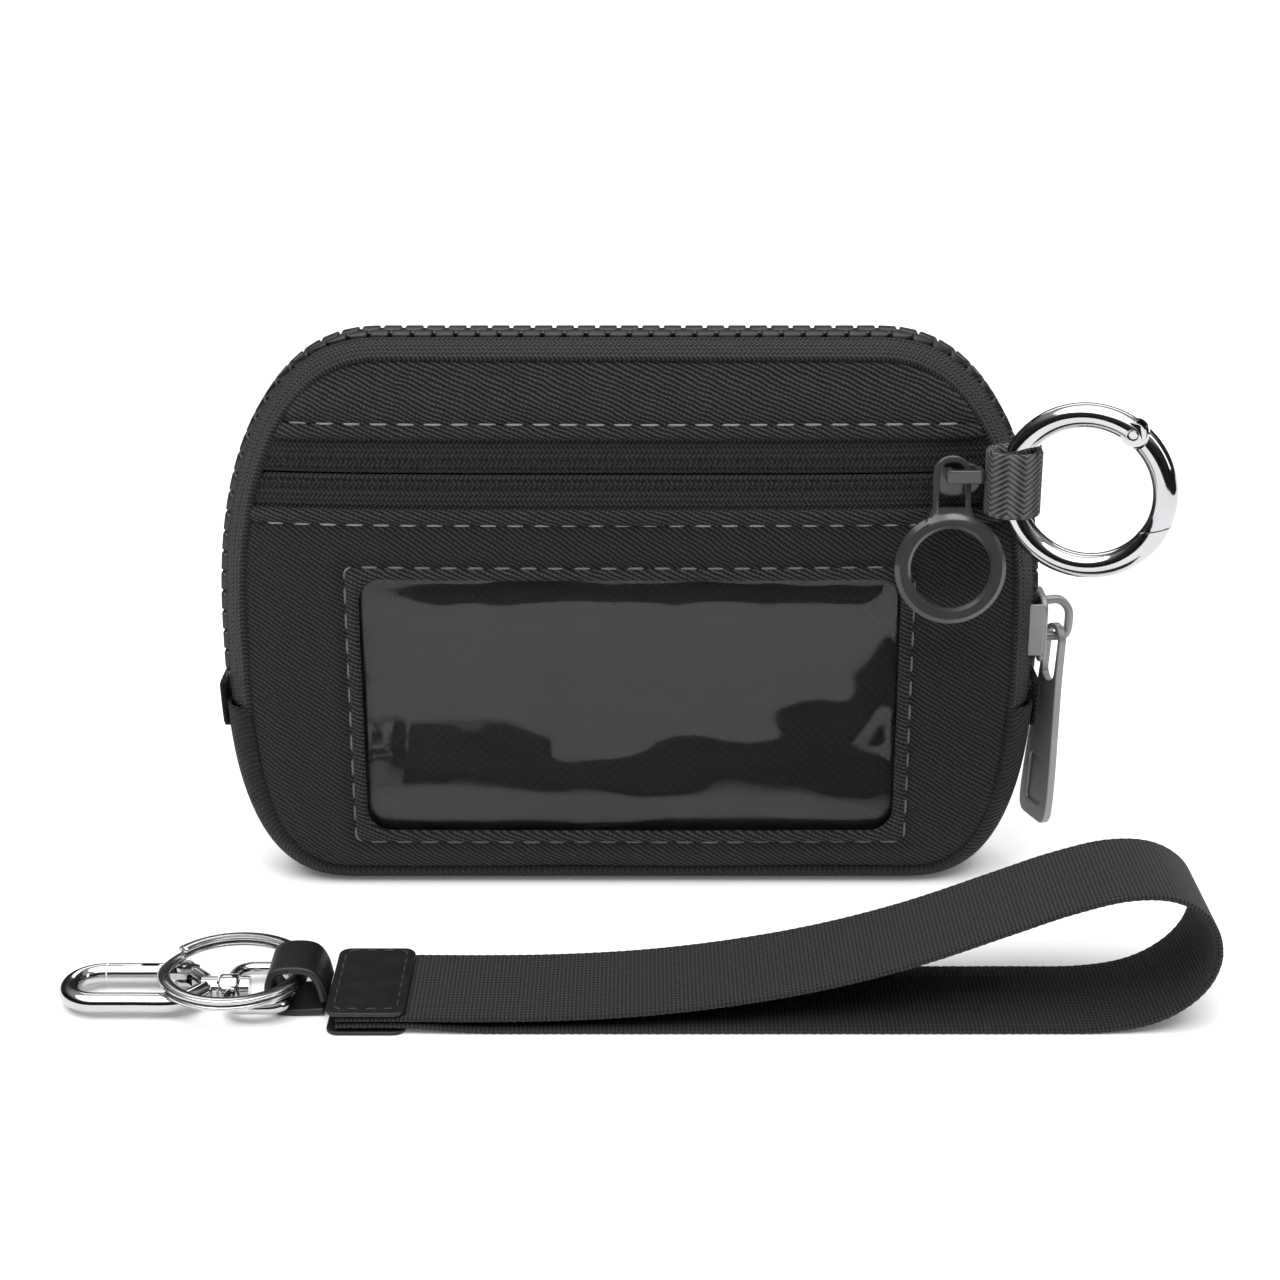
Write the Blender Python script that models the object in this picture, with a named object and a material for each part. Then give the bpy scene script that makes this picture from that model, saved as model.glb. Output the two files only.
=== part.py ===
"""Small zippered wrist pouch with a card window, a pocket zip, a side ring and a wrist strap.

Metres, +Z up.  The origin is the centre of the pouch's flat bottom, +X is to the
viewer's right and the front of the pouch faces -Y.  Helper arguments are in millimetres.
"""
import math

import bmesh
import bpy
from mathutils import Matrix, Vector

MM = 0.001
GAP = 0.3

# Pouch outline, seen from the front: four superellipse corners around straight edges.
HALF_WIDTH = 64.5
HEIGHT = 90.0
WAIST_Z = 42.0
TOP_FLAT = 38.0
TOP_POWER = 2.3
BOTTOM_FLAT = 44.0
BOTTOM_POWER = 2.8

# Panels and the band round the edge.
SEAM_Y = 8.0
SEAM_INSET = 3.0
SIDE_EXTRA_INSET = 1.3
PANEL_CROWN = 2.5
CLOTH = 0.8
ZIP_END_Z = 30.0
FLAP_Z = 64.0

# Pocket zip across the front, heights of its edges.
UPPER_STITCH_Z = 77.4
UPPER_LIP_Z = 75.1
POCKET_ZIP_Z = 69.5
LOWER_LIP_Z = 64.1
LOWER_STITCH_Z = 61.7

# Card window.
WINDOW_HALF = 44.2
WINDOW_LOW_Z = 8.0
WINDOW_HIGH_Z = 55.0
LIP_WIDTH = 2.0

# Main zip.
TOOTH_PITCH = 3.3
TOOTH_LENGTH = 2.3
TOOTH_RISE = 1.2
CHAIN_HALF_WIDTH = 2.9

# Ring on the side tab.
TAB_AXIS = (57.4, -12.6)
RING_RADIUS = 11.6
RING_WIRE = 1.9
RING_TURN = -21.0
RING_Z = 69.2
RING_PIN_ANGLE = 56.0
RING_SEAM_ANGLE = -24.0

# Wrist strap lying in front of the pouch.
STRAP_Y = (-57.1, -37.1)
STRAP_CENTRE_Y = -47.1
WEB = 0.8
SWIVEL_Z = 2.3
CLIP_WIRE = 1.5
CLIP_HALF = 4.55
SPLIT_CENTRE = (-57.9, -46.9)
SPLIT_RADIUS = 10.15


for old in list(bpy.data.objects):
    bpy.data.objects.remove(old, do_unlink=True)


def material(name, colour, roughness, metallic=0.0, alpha=1.0):
    """A Principled material, made once for each name."""
    found = bpy.data.materials.get(name)
    if found:
        return found
    made = bpy.data.materials.new(name)
    made.use_nodes = True
    shader = made.node_tree.nodes["Principled BSDF"]
    shader.inputs["Base Color"].default_value = (*colour, 1.0)
    shader.inputs["Roughness"].default_value = roughness
    shader.inputs["Metallic"].default_value = metallic
    shader.inputs["Alpha"].default_value = alpha
    return made


TWILL = material("twill", (0.018, 0.018, 0.020), 0.75)
LINING = material("lining", (0.015, 0.015, 0.016), 0.8)
TAPE = material("zip_tape", (0.016, 0.016, 0.018), 0.8)
TEETH = material("teeth", (0.012, 0.012, 0.013), 0.4)
VINYL = material("vinyl", (0.8, 0.82, 0.85), 0.15, 0.0, 0.3)
SLIDER = material("slider_metal", (0.2, 0.2, 0.21), 0.35, 1.0)
PULL = material("pull_gloss", (0.05, 0.05, 0.055), 0.25)
WEBBING = material("webbing", (0.015, 0.015, 0.016), 0.85)
LEATHER = material("leather", (0.014, 0.014, 0.015), 0.5)
CHROME = material("chrome", (0.8, 0.8, 0.82), 0.12, 1.0)


# ---------------------------------------------------------------- mesh helpers

def part(name, mesh, look, origin=(0, 0, 0), smooth=False):
    """Wraps a mesh given in millimetres as a named object with its origin at origin."""
    for vertex in mesh.verts:
        vertex.co = (vertex.co - Vector(origin)) * MM
    bmesh.ops.recalc_face_normals(mesh, faces=mesh.faces)
    data = bpy.data.meshes.new(name)
    mesh.to_mesh(data)
    mesh.free()
    data.materials.append(look)
    if smooth:
        data.shade_smooth()
        data.set_sharp_from_angle(angle=math.radians(35))
    made = bpy.data.objects.new(name, data)
    made.location = Vector(origin) * MM
    bpy.context.scene.collection.objects.link(made)
    return made


def combine(target, others, operation):
    """Applies Boolean operations to target and removes the tool objects."""
    for other in others:
        step = target.modifiers.new("cut", "BOOLEAN")
        step.operation = operation
        step.solver = "EXACT"
        step.object = other
        bpy.context.view_layer.update()
        graph = bpy.context.evaluated_depsgraph_get()
        result = bpy.data.meshes.new_from_object(target.evaluated_get(graph))
        target.modifiers.clear()
        target.data = result
        bpy.data.objects.remove(other, do_unlink=True)
    return target


def loft(rings, closed=False):
    """Joins rings of points, with end caps unless the row of rings closes on itself."""
    mesh = bmesh.new()
    rows = [[mesh.verts.new(point) for point in ring] for ring in rings]
    count = len(rows[0])
    pairs = list(zip(rows, rows[1:]))
    if closed:
        pairs.append((rows[-1], rows[0]))
    for first, second in pairs:
        for i in range(count):
            j = (i + 1) % count
            mesh.faces.new((first[i], first[j], second[j], second[i]))
    if not closed:
        mesh.faces.new(rows[0])
        mesh.faces.new(list(reversed(rows[-1])))
    return mesh


def circle(radius, steps):
    """A round section for sweep."""
    turns = [2 * math.pi * i / steps for i in range(steps)]
    return [(radius * math.cos(a), radius * math.sin(a)) for a in turns]


def rectangle(width, height):
    """A rectangular section for sweep."""
    u = width / 2
    v = height / 2
    return [(-u, -v), (u, -v), (u, v), (-u, v)]


def sweep(path, section, normal, closed=False):
    """Carries a section along a path that lies in or near the plane with this normal."""
    points = [Vector(p) for p in path]
    up = Vector(normal).normalized()
    rings = []
    last = len(points) - 1
    for i, point in enumerate(points):
        before = points[i - 1] if (i > 0 or closed) else point
        after = points[(i + 1) % len(points)] if (i < last or closed) else point
        along = (after - before).normalized()
        across = along.cross(up).normalized()
        rings.append([point + across * u + up * v for u, v in section])
    return loft(rings, closed)


def prism(outline, low, high, plane="XZ"):
    """Extrudes a flat outline: XZ along Y, XY along Z, YZ along X."""
    place = {
        "XZ": lambda a, b, c: (a, c, b),
        "XY": lambda a, b, c: (a, b, c),
        "YZ": lambda a, b, c: (c, a, b),
    }[plane]
    return loft([[place(a, b, c) for a, b in outline] for c in (low, high)])


def rounded(x0, x1, z0, z1, radius, steps=4):
    """A rectangle outline with rounded corners."""
    points = []
    corners = ((x1, z1, 0), (x0, z1, 90), (x0, z0, 180), (x1, z0, 270))
    for x, z, start in corners:
        cx = x - math.copysign(radius, x - (x0 + x1) / 2)
        cz = z - math.copysign(radius, z - (z0 + z1) / 2)
        for i in range(steps + 1):
            turn = math.radians(start + 90 * i / steps)
            points.append((cx + radius * math.cos(turn), cz + radius * math.sin(turn)))
    return points


def smooth_path(points, steps=4):
    """A Catmull-Rom curve through the points."""
    ends = [points[0]] + list(points) + [points[-1]]
    path = []
    for a, b, c, d in zip(ends, ends[1:], ends[2:], ends[3:]):
        for i in range(steps):
            t = i / steps
            path.append(tuple(
                0.5 * (2 * q + (r - p) * t + (2 * p - 5 * q + 4 * r - s) * t * t
                       + (3 * q - p - 3 * r + s) * t ** 3)
                for p, q, r, s in zip(a, b, c, d)))
    path.append(tuple(points[-1]))
    return path


def ribbon(path, thickness, low, high, plane="XZ"):
    """A flat strip whose edge follows path, from low to high across."""
    middle = (low + high) / 2
    width = high - low
    if plane == "XZ":
        return sweep([(a, middle, b) for a, b in path], rectangle(thickness, width), (0, 1, 0))
    return sweep([(a, b, middle) for a, b in path], rectangle(thickness, width), (0, 0, 1))


# ---------------------------------------------------------------- pouch outline

def quarter(flat, side, rise, power, steps=60):
    """Points of one superellipse corner, from the waist to the flat edge."""
    points = []
    for i in range(steps + 1):
        turn = math.pi / 2 * i / steps
        x = flat + (side - flat) * max(math.cos(turn), 0.0) ** (2 / power)
        z = WAIST_Z + rise * math.sin(turn) ** (2 / power)
        points.append((x, z))
    return points


def crest_half():
    """Right half of the outline from the top centre down to the bottom centre."""
    top = quarter(TOP_FLAT, HALF_WIDTH, HEIGHT - WAIST_Z, TOP_POWER)
    low = quarter(BOTTOM_FLAT, HALF_WIDTH, -WAIST_Z, BOTTOM_POWER)
    return [(0.0, HEIGHT)] + list(reversed(top)) + low[1:] + [(0.0, 0.0)]


CREST = crest_half()
LENGTHS = [0.0]
for here, there in zip(CREST, CREST[1:]):
    LENGTHS.append(LENGTHS[-1] + math.dist(here, there))
HALF_LENGTH = LENGTHS[-1]


def crest(s):
    """Point and outward normal at arc length s from the top centre, positive to the right."""
    side = -1.0 if s < 0 else 1.0
    distance = min(abs(s), HALF_LENGTH - 1e-6)

    def at(length):
        length = min(max(length, 0.0), HALF_LENGTH - 1e-6)
        for i in range(len(LENGTHS) - 1):
            if length <= LENGTHS[i + 1]:
                t = (length - LENGTHS[i]) / max(LENGTHS[i + 1] - LENGTHS[i], 1e-9)
                a, b = CREST[i], CREST[i + 1]
                return (a[0] + (b[0] - a[0]) * t, a[1] + (b[1] - a[1]) * t)
        return CREST[-1]

    x, z = at(distance)
    x0, z0 = at(distance - 1.0)
    x1, z1 = at(distance + 1.0)
    size = math.hypot(x1 - x0, z1 - z0)
    return side * x, z, side * -(z1 - z0) / size, (x1 - x0) / size


def length_at(z):
    """Arc length on the right side where the outline passes height z."""
    for i in range(1, len(CREST)):
        if CREST[i][1] < z:
            return LENGTHS[i]
    return HALF_LENGTH


def seam_depth(nx):
    """How far the panel seam lies inside the outline."""
    return SEAM_INSET + SIDE_EXTRA_INSET * abs(nx)


def inset_point(s, inset, y):
    """A point at depth inset below the outline."""
    x, z, nx, nz = crest(s)
    return (x - nx * inset, y, z - nz * inset)


def seam_half(extra, low, high):
    """Right half of the seam outline from height low up to height high."""
    steps = 26
    points = []
    for i in range(steps + 1):
        s = HALF_LENGTH - HALF_LENGTH * i / steps
        x, z, nx, nz = crest(s)
        depth = seam_depth(nx) + extra
        points.append((x - nx * depth, z - nz * depth))
    points = [p for p in points if p[0] > 20.0]
    kept = [p for p in points if low + 0.3 < p[1] < high - 0.3]
    for level in (low, high):
        for a, b in zip(points, points[1:]):
            if a[1] <= level < b[1]:
                t = (level - a[1]) / (b[1] - a[1])
                kept.append((a[0] + (b[0] - a[0]) * t, level))
    return sorted(kept, key=lambda p: p[1])


def crown(x, z):
    """Distance of the puffed panel surface from the middle plane."""
    across = max(0.0, 1 - (abs(x) / 60.0) ** 4)
    along = max(0.0, 1 - (abs(z - 45.0) / 42.0) ** 4)
    return SEAM_Y + PANEL_CROWN * across * along


def sheet(low, high, depth, thickness, side, extra=GAP, flat=None, columns=8):
    """A panel within the seam outline; depth is measured inward from the crown."""
    rows = seam_half(extra, low, high)
    outer = []
    inner = []
    for x, z in rows:
        line_out = []
        line_in = []
        for i in range(columns + 1):
            px = x * math.sin(math.pi * (i / columns - 0.5))
            y = flat if flat is not None else crown(px, z) - depth
            line_out.append((px, side * y, z))
            line_in.append((px, side * (y - thickness), z))
        outer.append(line_out)
        inner.append(line_in)
    return loft([a + list(reversed(b)) for a, b in zip(outer, inner)])


def front(name, low, high, look, depth=0.0, thickness=CLOTH, **rest):
    return part(name, sheet(low, high, depth, thickness, -1, **rest), look, smooth=True)


def back(name, low, high, look, depth=0.0, thickness=CLOTH, **rest):
    return part(name, sheet(low, high, depth, thickness, 1, **rest), look, smooth=True)


def curved_bar(name, x0, x1, low, high, depth, thickness, look, columns=12):
    """A crowned strip on the front with straight ends."""
    rings = []
    for i in range(columns + 1):
        x = x0 + (x1 - x0) * i / columns
        y_low = -(crown(x, low) - depth)
        y_high = -(crown(x, high) - depth)
        rings.append([(x, y_low, low), (x, y_high, high),
                      (x, y_high + thickness, high), (x, y_low + thickness, low)])
    return part(name, loft(rings), look, smooth=True)


# ---------------------------------------------------------------- pouch shell

front("front_panel_upper", UPPER_STITCH_Z, 86.7, TWILL)
front("pocket_welt_upper", UPPER_LIP_Z, UPPER_STITCH_Z - GAP, TWILL, depth=-0.35, thickness=1.5)
front("pocket_tape_upper", POCKET_ZIP_Z + 0.2, UPPER_LIP_Z - GAP, TAPE, depth=1.0, thickness=0.5)
front("pocket_tape_lower", LOWER_LIP_Z + GAP, POCKET_ZIP_Z - 0.2, TAPE, depth=1.0, thickness=0.5)
front("pocket_welt_lower", LOWER_STITCH_Z + GAP, LOWER_LIP_Z, TWILL, depth=-0.35, thickness=1.5)
lower = front("front_panel_lower", 2.9, LOWER_STITCH_Z, TWILL)

hole = rounded(-WINDOW_HALF - GAP, WINDOW_HALF + GAP, WINDOW_LOW_Z - GAP, WINDOW_HIGH_Z + GAP, 3.5)
combine(lower, [part("window_cut", prism(hole, -14, -5), TWILL)], "DIFFERENCE")


def window_frame():
    """The folded edge round the card window, following the crown of the panel."""
    outer = rounded(-WINDOW_HALF, WINDOW_HALF, WINDOW_LOW_Z, WINDOW_HIGH_Z, 3.2)
    inner = rounded(-WINDOW_HALF + LIP_WIDTH, WINDOW_HALF - LIP_WIDTH,
                    WINDOW_LOW_Z + LIP_WIDTH, WINDOW_HIGH_Z - LIP_WIDTH, 1.8)
    rings = []
    for i in range(len(outer)):
        following = (i + 1) % len(outer)
        steps = 8 if math.dist(outer[i], outer[following]) > 10 else 1
        for j in range(steps):
            t = j / steps
            a = [p + (q - p) * t for p, q in zip(outer[i], outer[following])]
            b = [p + (q - p) * t for p, q in zip(inner[i], inner[following])]
            y_a = -crown(*a)
            y_b = -crown(*b)
            rings.append([(a[0], y_a - 0.2, a[1]), (b[0], y_b - 0.2, b[1]),
                          (b[0], y_b + 0.8, b[1]), (a[0], y_a + 0.8, a[1])])
    return loft(rings, closed=True)


part("window_lip", window_frame(), TWILL, smooth=True)
curved_bar("id_window", -47.5, 47.5, 6.2, 57.0, 1.2, 0.4, VINYL)
curved_bar("window_backing", -47.5, 47.5, 6.0, 58.0, 2.0, 0.4, LINING)
part("pocket_bag", prism(rounded(-52, 52, 12, 79, 3), -5.5, -5.0), LINING)
front("front_lining", 5.0, 85.0, LINING, flat=4.5, thickness=0.5, extra=2.2, columns=2)
back("back_lining_lower", 5.0, FLAP_Z - 0.15, LINING, flat=7.0, thickness=0.5, extra=2.2, columns=2)
back("back_lining_upper", FLAP_Z + 0.15, 85.0, LINING, flat=7.0, thickness=0.5, extra=2.2,
     columns=2)
back("back_panel_lower", 2.9, FLAP_Z - 0.15, TWILL)
back("back_panel_upper", FLAP_Z + 0.15, 86.7, TWILL)


def coil(name, z, phase):
    """A sewn coil behind the pocket tape, drawn as one toothed bar."""
    rings = []
    count = 56
    for i in range(count + 1):
        x = -50.4 + 100.8 * i / count
        y = -(crown(x, z) - 1.8)
        rise = 0.35 if (i + phase) % 2 else 0.0
        rings.append([(x, y + rise, z - 0.7), (x, y + rise, z + 0.7), (x, y + 1.2, z + 0.7),
                      (x, y + 1.2, z - 0.7)])
    part(name, loft(rings), TEETH)


coil("pocket_coil_upper", POCKET_ZIP_Z + 0.95, 0)
coil("pocket_coil_lower", POCKET_ZIP_Z - 0.95, 1)


# ---------------------------------------------------------------- edge bands

def stations(start, end, spacing):
    count = max(2, round(abs(end - start) / spacing))
    return [start + (end - start) * i / count for i in range(count + 1)]


def band(name, start, end, side, look, spacing=5.0):
    """Half of the edge band from the seam to the zip chain."""
    rings = []
    for s in stations(start, end, spacing):
        depth = seam_depth(crest(s)[2])
        section = [(depth, SEAM_Y), (0.5 * depth, 5.6), (0.22 * depth + 0.3, CHAIN_HALF_WIDTH + GAP),
                   (0.22 * depth + 1.1, CHAIN_HALF_WIDTH + GAP), (0.5 * depth + 0.8, 5.4),
                   (depth + 0.05, SEAM_Y - 1.0)]
        rings.append([inset_point(s, inset, side * y) for inset, y in section])
    return part(name, loft(rings), look, smooth=True)


def chain(name, start, end, side):
    """One row of moulded teeth on its cord, as a single comb."""
    rings = []
    count = round(abs(end - start) / TOOTH_PITCH)
    pitch = (end - start) / count
    length = TOOTH_LENGTH / TOOTH_PITCH
    for i in range(count):
        for t, rise in ((0.0, 0), (0.08, 1), (length, 1), (length + 0.08, 0)):
            s = start + (i + t) * pitch
            top = 0.0 if rise else TOOTH_RISE
            section = [(2.0, CHAIN_HALF_WIDTH), (top + 0.2, CHAIN_HALF_WIDTH - 0.2),
                       (top, 0.15), (2.0, 0.15)]
            rings.append([inset_point(s, inset, side * y) for inset, y in section])
    return part(name, loft(rings), TEETH)


ZIP_END = length_at(ZIP_END_Z)
FLAP_S = length_at(FLAP_Z)
FLAP_GAP = 0.35
band("front_zip_tape", -ZIP_END, ZIP_END, -1, TAPE)
band("back_tape_left", -ZIP_END, -FLAP_S - FLAP_GAP, 1, TAPE)
band("back_tape_right", FLAP_S + FLAP_GAP, ZIP_END, 1, TAPE)
band("back_tape_top", -FLAP_S + FLAP_GAP, FLAP_S - FLAP_GAP, 1, TAPE)
chain("front_zip_teeth", -ZIP_END + 1, ZIP_END - 1, -1)
chain("back_teeth_left", -ZIP_END + 1, -FLAP_S - FLAP_GAP, 1)
chain("back_teeth_right", FLAP_S + FLAP_GAP, ZIP_END - 1, 1)
chain("back_teeth_top", -FLAP_S + FLAP_GAP, FLAP_S - FLAP_GAP, 1)


def gusset():
    """The plain cloth band under the pouch between the two ends of the zip."""
    rings = []
    for s in stations(ZIP_END + 0.4, 2 * HALF_LENGTH - ZIP_END - 0.4, 5.0):
        at = s if s <= HALF_LENGTH else s - 2 * HALF_LENGTH
        depth = seam_depth(crest(at)[2])
        outer = [(depth, SEAM_Y), (0.35 * depth, 6.2), (0.0, 4.2)]
        inner = [(0.8, 4.0), (0.35 * depth + 0.8, 6.0), (depth + 0.05, SEAM_Y - 1.0)]
        section = outer + [(i, -y) for i, y in reversed(outer)]
        section += [(i, -y) for i, y in reversed(inner)] + inner
        rings.append([inset_point(at, inset, y) for inset, y in section])
    return loft(rings)


part("gusset_bottom", gusset(), TWILL, smooth=True)
for label, sign in (("left", -1), ("right", 1)):
    tab_rings = []
    for s in stations(length_at(34.0), length_at(27.0), 2.0):
        corners = ((-0.95, -4.2), (-0.95, 4.2), (-GAP, 4.2), (-GAP, -4.2))
        tab_rings.append([inset_point(sign * s, inset, y) for inset, y in corners])
    part("zip_end_tab_" + label, loft(tab_rings), TWILL)


# ---------------------------------------------------------------- main slider and pull

outer_plate = rounded(-4.4, 4.4, 36.3, 46.6, 2.0)
part("main_slider_body", prism(outer_plate, 64.8, 65.9, "YZ"), SLIDER, smooth=True)
part("main_slider_wedge", prism(rounded(-4.2, 4.2, 36.6, 46.4, 2.0), 59.8, 60.9, "YZ"), SLIDER,
     smooth=True)
arch_path = smooth_path([(66.2, 46.2), (68.2, 46.3), (69.7, 44.8), (69.9, 42.4), (69.5, 40.6),
                         (68.2, 40.2), (66.2, 40.2)])
arch_mesh = sweep([(x, 0, z) for x, z in arch_path], rectangle(1.4, 1.6), (0, 1, 0))
part("main_slider_bridge", arch_mesh, SLIDER, smooth=True)


def pull_outline():
    """Outline of the side pull: narrow eye at the top, wider rounded foot."""
    top = [(2.6 * math.cos(a), -0.5 + 2.6 * math.sin(a)) for a in
           [math.pi * i / 8 for i in range(9)]]
    foot = [(-3.2, -12.0), (-4.25, -24.0), (-4.25, -29.0), (-3.0, -31.2),
            (3.0, -31.2), (4.25, -29.0), (4.25, -24.0), (3.2, -12.0)]
    return top + foot


MAIN_PIVOT = (67.95, 0.0, 40.2)
main_pull = part("main_pull", prism(pull_outline(), -0.65, 0.65, "YZ"), SLIDER)
eye = [(1.85 * math.cos(a), -0.6 + 1.85 * math.sin(a)) for a in
       [math.pi * i / 8 for i in range(9)]]
eye += [(-1.85 * math.cos(a), -5.6 - 1.85 * math.sin(a)) for a in
        [math.pi * i / 8 for i in range(9)]]
recess = rounded(-2.4, 2.4, -28.4, -21.0, 0.8)
combine(main_pull, [part("eye_cut", prism(eye, -3, 3, "YZ"), SLIDER),
                    part("foot_cut", prism(recess, -3, -0.25, "YZ"), SLIDER)], "DIFFERENCE")
lean = Matrix.Rotation(math.radians(20), 4, "Z") @ Matrix.Rotation(math.radians(3.5), 4, "Y")
main_pull.data.transform(lean)
main_pull.location = Vector(MAIN_PIVOT) * MM


# ---------------------------------------------------------------- pocket slider and pull

part("pocket_slider_body", prism(rounded(46.6, 53.4, 66.6, 72.4, 1.6), -11.4, -10.15), PULL,
     smooth=True)
bridge = [(47.6, -11.7), (47.6, -14.0), (48.2, -14.5), (52.7, -14.5), (53.3, -14.0),
          (53.3, -11.7), (52.2, -11.7), (52.2, -13.4), (48.7, -13.4), (48.7, -11.7)]
part("pocket_slider_bridge", prism(bridge, 69.5, 71.6, "XY"), PULL)

POCKET_PIVOT = (48.6, -12.55, 70.6)
RING_DROP = 14.3
turns = [math.radians(a) for a in range(0, 360, 12)]
pocket_pull = part("pocket_pull", sweep(
    [(7.3 * math.cos(a), 0, -RING_DROP + 7.3 * math.sin(a)) for a in turns],
    circle(1.2, 10), (0, 1, 0), closed=True), PULL, smooth=True)
stem = [(2.9 * math.cos(a), 2.9 * math.sin(a)) for a in [math.pi * i / 8 for i in range(9)]]
stem += [(-2.9, -6.9), (2.9, -6.9)]
slot = [(2.0 * math.cos(a), 2.0 * math.sin(a)) for a in [math.pi * i / 8 for i in range(9)]]
slot += [(-2.0, -4.4), (-1.2, -5.3), (1.2, -5.3), (2.0, -4.4)]
combine(pocket_pull, [part("stem", prism(stem, -0.55, 0.55), PULL)], "UNION")
combine(pocket_pull, [part("slot", prism(slot, -3, 3), PULL)], "DIFFERENCE")
pocket_pull.data.transform(Matrix.Rotation(math.radians(-10), 4, "X"))
pocket_pull.location = Vector(POCKET_PIVOT) * MM


# ---------------------------------------------------------------- side tab and ring

tab_path = smooth_path([(62.3, -9.7), (57.4, -9.5), (54.5, -11.0), (54.3, -13.9), (56.2, -15.8),
                        (60.0, -15.8), (62.2, -14.0), (62.5, -11.2)])
part("ring_tab", ribbon(tab_path, 1.1, 63.7, 74.7, "XY"), WEBBING, smooth=True)

RING_CENTRE = Vector((TAB_AXIS[0] + RING_RADIUS * math.cos(math.radians(RING_TURN)),
                      TAB_AXIS[1] + RING_RADIUS * math.sin(math.radians(RING_TURN)), RING_Z))
RING_ACROSS = Vector((math.cos(math.radians(RING_TURN)), math.sin(math.radians(RING_TURN)), 0))
RING_NORMAL = Vector((math.sin(math.radians(RING_TURN)), -math.cos(math.radians(RING_TURN)), 0))


def on_ring(angle, radius=RING_RADIUS, out=0.0):
    turn = math.radians(angle)
    flat = RING_ACROSS * (radius * math.cos(turn)) + Vector((0, 0, radius * math.sin(turn)))
    return RING_CENTRE + flat + RING_NORMAL * out


def ring_arc(name, start, end, steps):
    path = [on_ring(start + (end - start) * i / steps) for i in range(steps + 1)]
    return part(name, sweep(path, circle(RING_WIRE, 14), RING_NORMAL), CHROME, smooth=True)


def ring_plug(name, angle, radius, low, high, steps=18):
    """A cylinder across the ring's plane, centred on its wire at this angle."""
    centre = on_ring(angle)
    up = Vector((0, 0, 1))
    rings = []
    for out in (low, high):
        rings.append([centre + RING_NORMAL * out + RING_ACROSS * u + up * v
                      for u, v in circle(radius, steps)])
    return part(name, loft(rings), CHROME, smooth=True)


def ring_block(name, angle, length, width, low, high):
    """A block across the ring's plane that runs back from the pin along the gate."""
    turn = math.radians(angle)
    centre = on_ring(angle)
    along = RING_ACROSS * math.sin(turn) - Vector((0, 0, math.cos(turn)))
    radial = RING_ACROSS * math.cos(turn) + Vector((0, 0, math.sin(turn)))
    rings = []
    for out in (low, high):
        rings.append([centre + RING_NORMAL * out + along * a + radial * b
                      for a, b in ((0, -width), (length, -width), (length, width), (0, width))])
    return part(name, loft(rings), CHROME)


def seam_block(name, side):
    """A block on one side of the seam, whose plane is square to the line from the pin."""
    tip = on_ring(RING_SEAM_ANGLE)
    chord = (tip - on_ring(RING_PIN_ANGLE)).normalized()
    across = RING_NORMAL.cross(chord)
    near = -side * GAP / 2
    rings = []
    for out in (-3, 3):
        rings.append([tip + RING_NORMAL * out + chord * a + across * b for a, b in
                      ((near, -5), (side * 9, -5), (side * 9, 5), (near, 5))])
    return part(name, loft(rings), CHROME)


ring_body = ring_arc("o_ring_body", RING_PIN_ANGLE, RING_SEAM_ANGLE + 372, 31)
combine(ring_body, [seam_block("seam_above", -1)], "DIFFERENCE")
combine(ring_body, [ring_plug("pin_end", RING_PIN_ANGLE, 1.85, -1.55, 1.55)], "UNION")
combine(ring_body, [ring_plug("slot_round", RING_PIN_ANGLE, 1.95, -0.85, 0.85),
                    ring_block("slot_long", RING_PIN_ANGLE, 4.0, 3.0, -0.85, 0.85),
                    ring_plug("pin_bore", RING_PIN_ANGLE, 0.9, -3, 3)], "DIFFERENCE")
ring_plug("o_ring_pin", RING_PIN_ANGLE, 0.6, -1.5, 1.5, 14)
gate = ring_arc("o_ring_gate", RING_PIN_ANGLE, RING_SEAM_ANGLE - 12, 13)
combine(gate, [ring_plug("shoulder", RING_PIN_ANGLE, 2.4, -3, 3, 24),
               seam_block("seam_below", 1)], "DIFFERENCE")
combine(gate, [ring_plug("tongue_end", RING_PIN_ANGLE, 1.5, -0.5, 0.5),
               ring_block("tongue", RING_PIN_ANGLE, 3.2, 1.2, -0.5, 0.5)], "UNION")
combine(gate, [ring_plug("gate_bore", RING_PIN_ANGLE, 0.9, -3, 3)], "DIFFERENCE")


# ---------------------------------------------------------------- wrist strap

strap_points = [(-42.0, 1.25), (-32.0, 1.25), (-22.0, 0.5), (-10.0, 0.42), (20.0, 0.42),
                (55.0, 0.42), (68.0, 0.6), (76.0, 2.4), (81.6, 6.6), (83.8, 12.0),
                (82.2, 17.6), (77.4, 21.0), (70.6, 21.4), (62.5, 19.3), (54.0, 16.1),
                (41.3, 11.3), (28.5, 7.6), (15.6, 5.0), (2.6, 3.3), (-10.0, 2.5),
                (-22.0, 2.3), (-32.0, 2.35), (-42.0, 2.35)]
webbing = ribbon(smooth_path(strap_points, 3), WEB, STRAP_Y[0], STRAP_Y[1])
part("strap_webbing", webbing, WEBBING, smooth=True)
plate = rounded(-43.5, -32.0, STRAP_Y[0] - 0.2, STRAP_Y[1] + 0.2, 1.6)
part("end_cap_bottom", prism(plate, 0.0, 0.6, "XY"), LEATHER)
part("end_cap_top", prism(plate, 3.0, 3.6, "XY"), LEATHER)
loop_points = [(-44.3, 0.75), (-49.0, 0.55), (-51.5, 1.2), (-52.3, 4.0), (-51.4, 6.7),
               (-48.8, 7.35), (-46.2, 6.9), (-44.9, 5.0), (-44.3, 2.4)]
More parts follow.
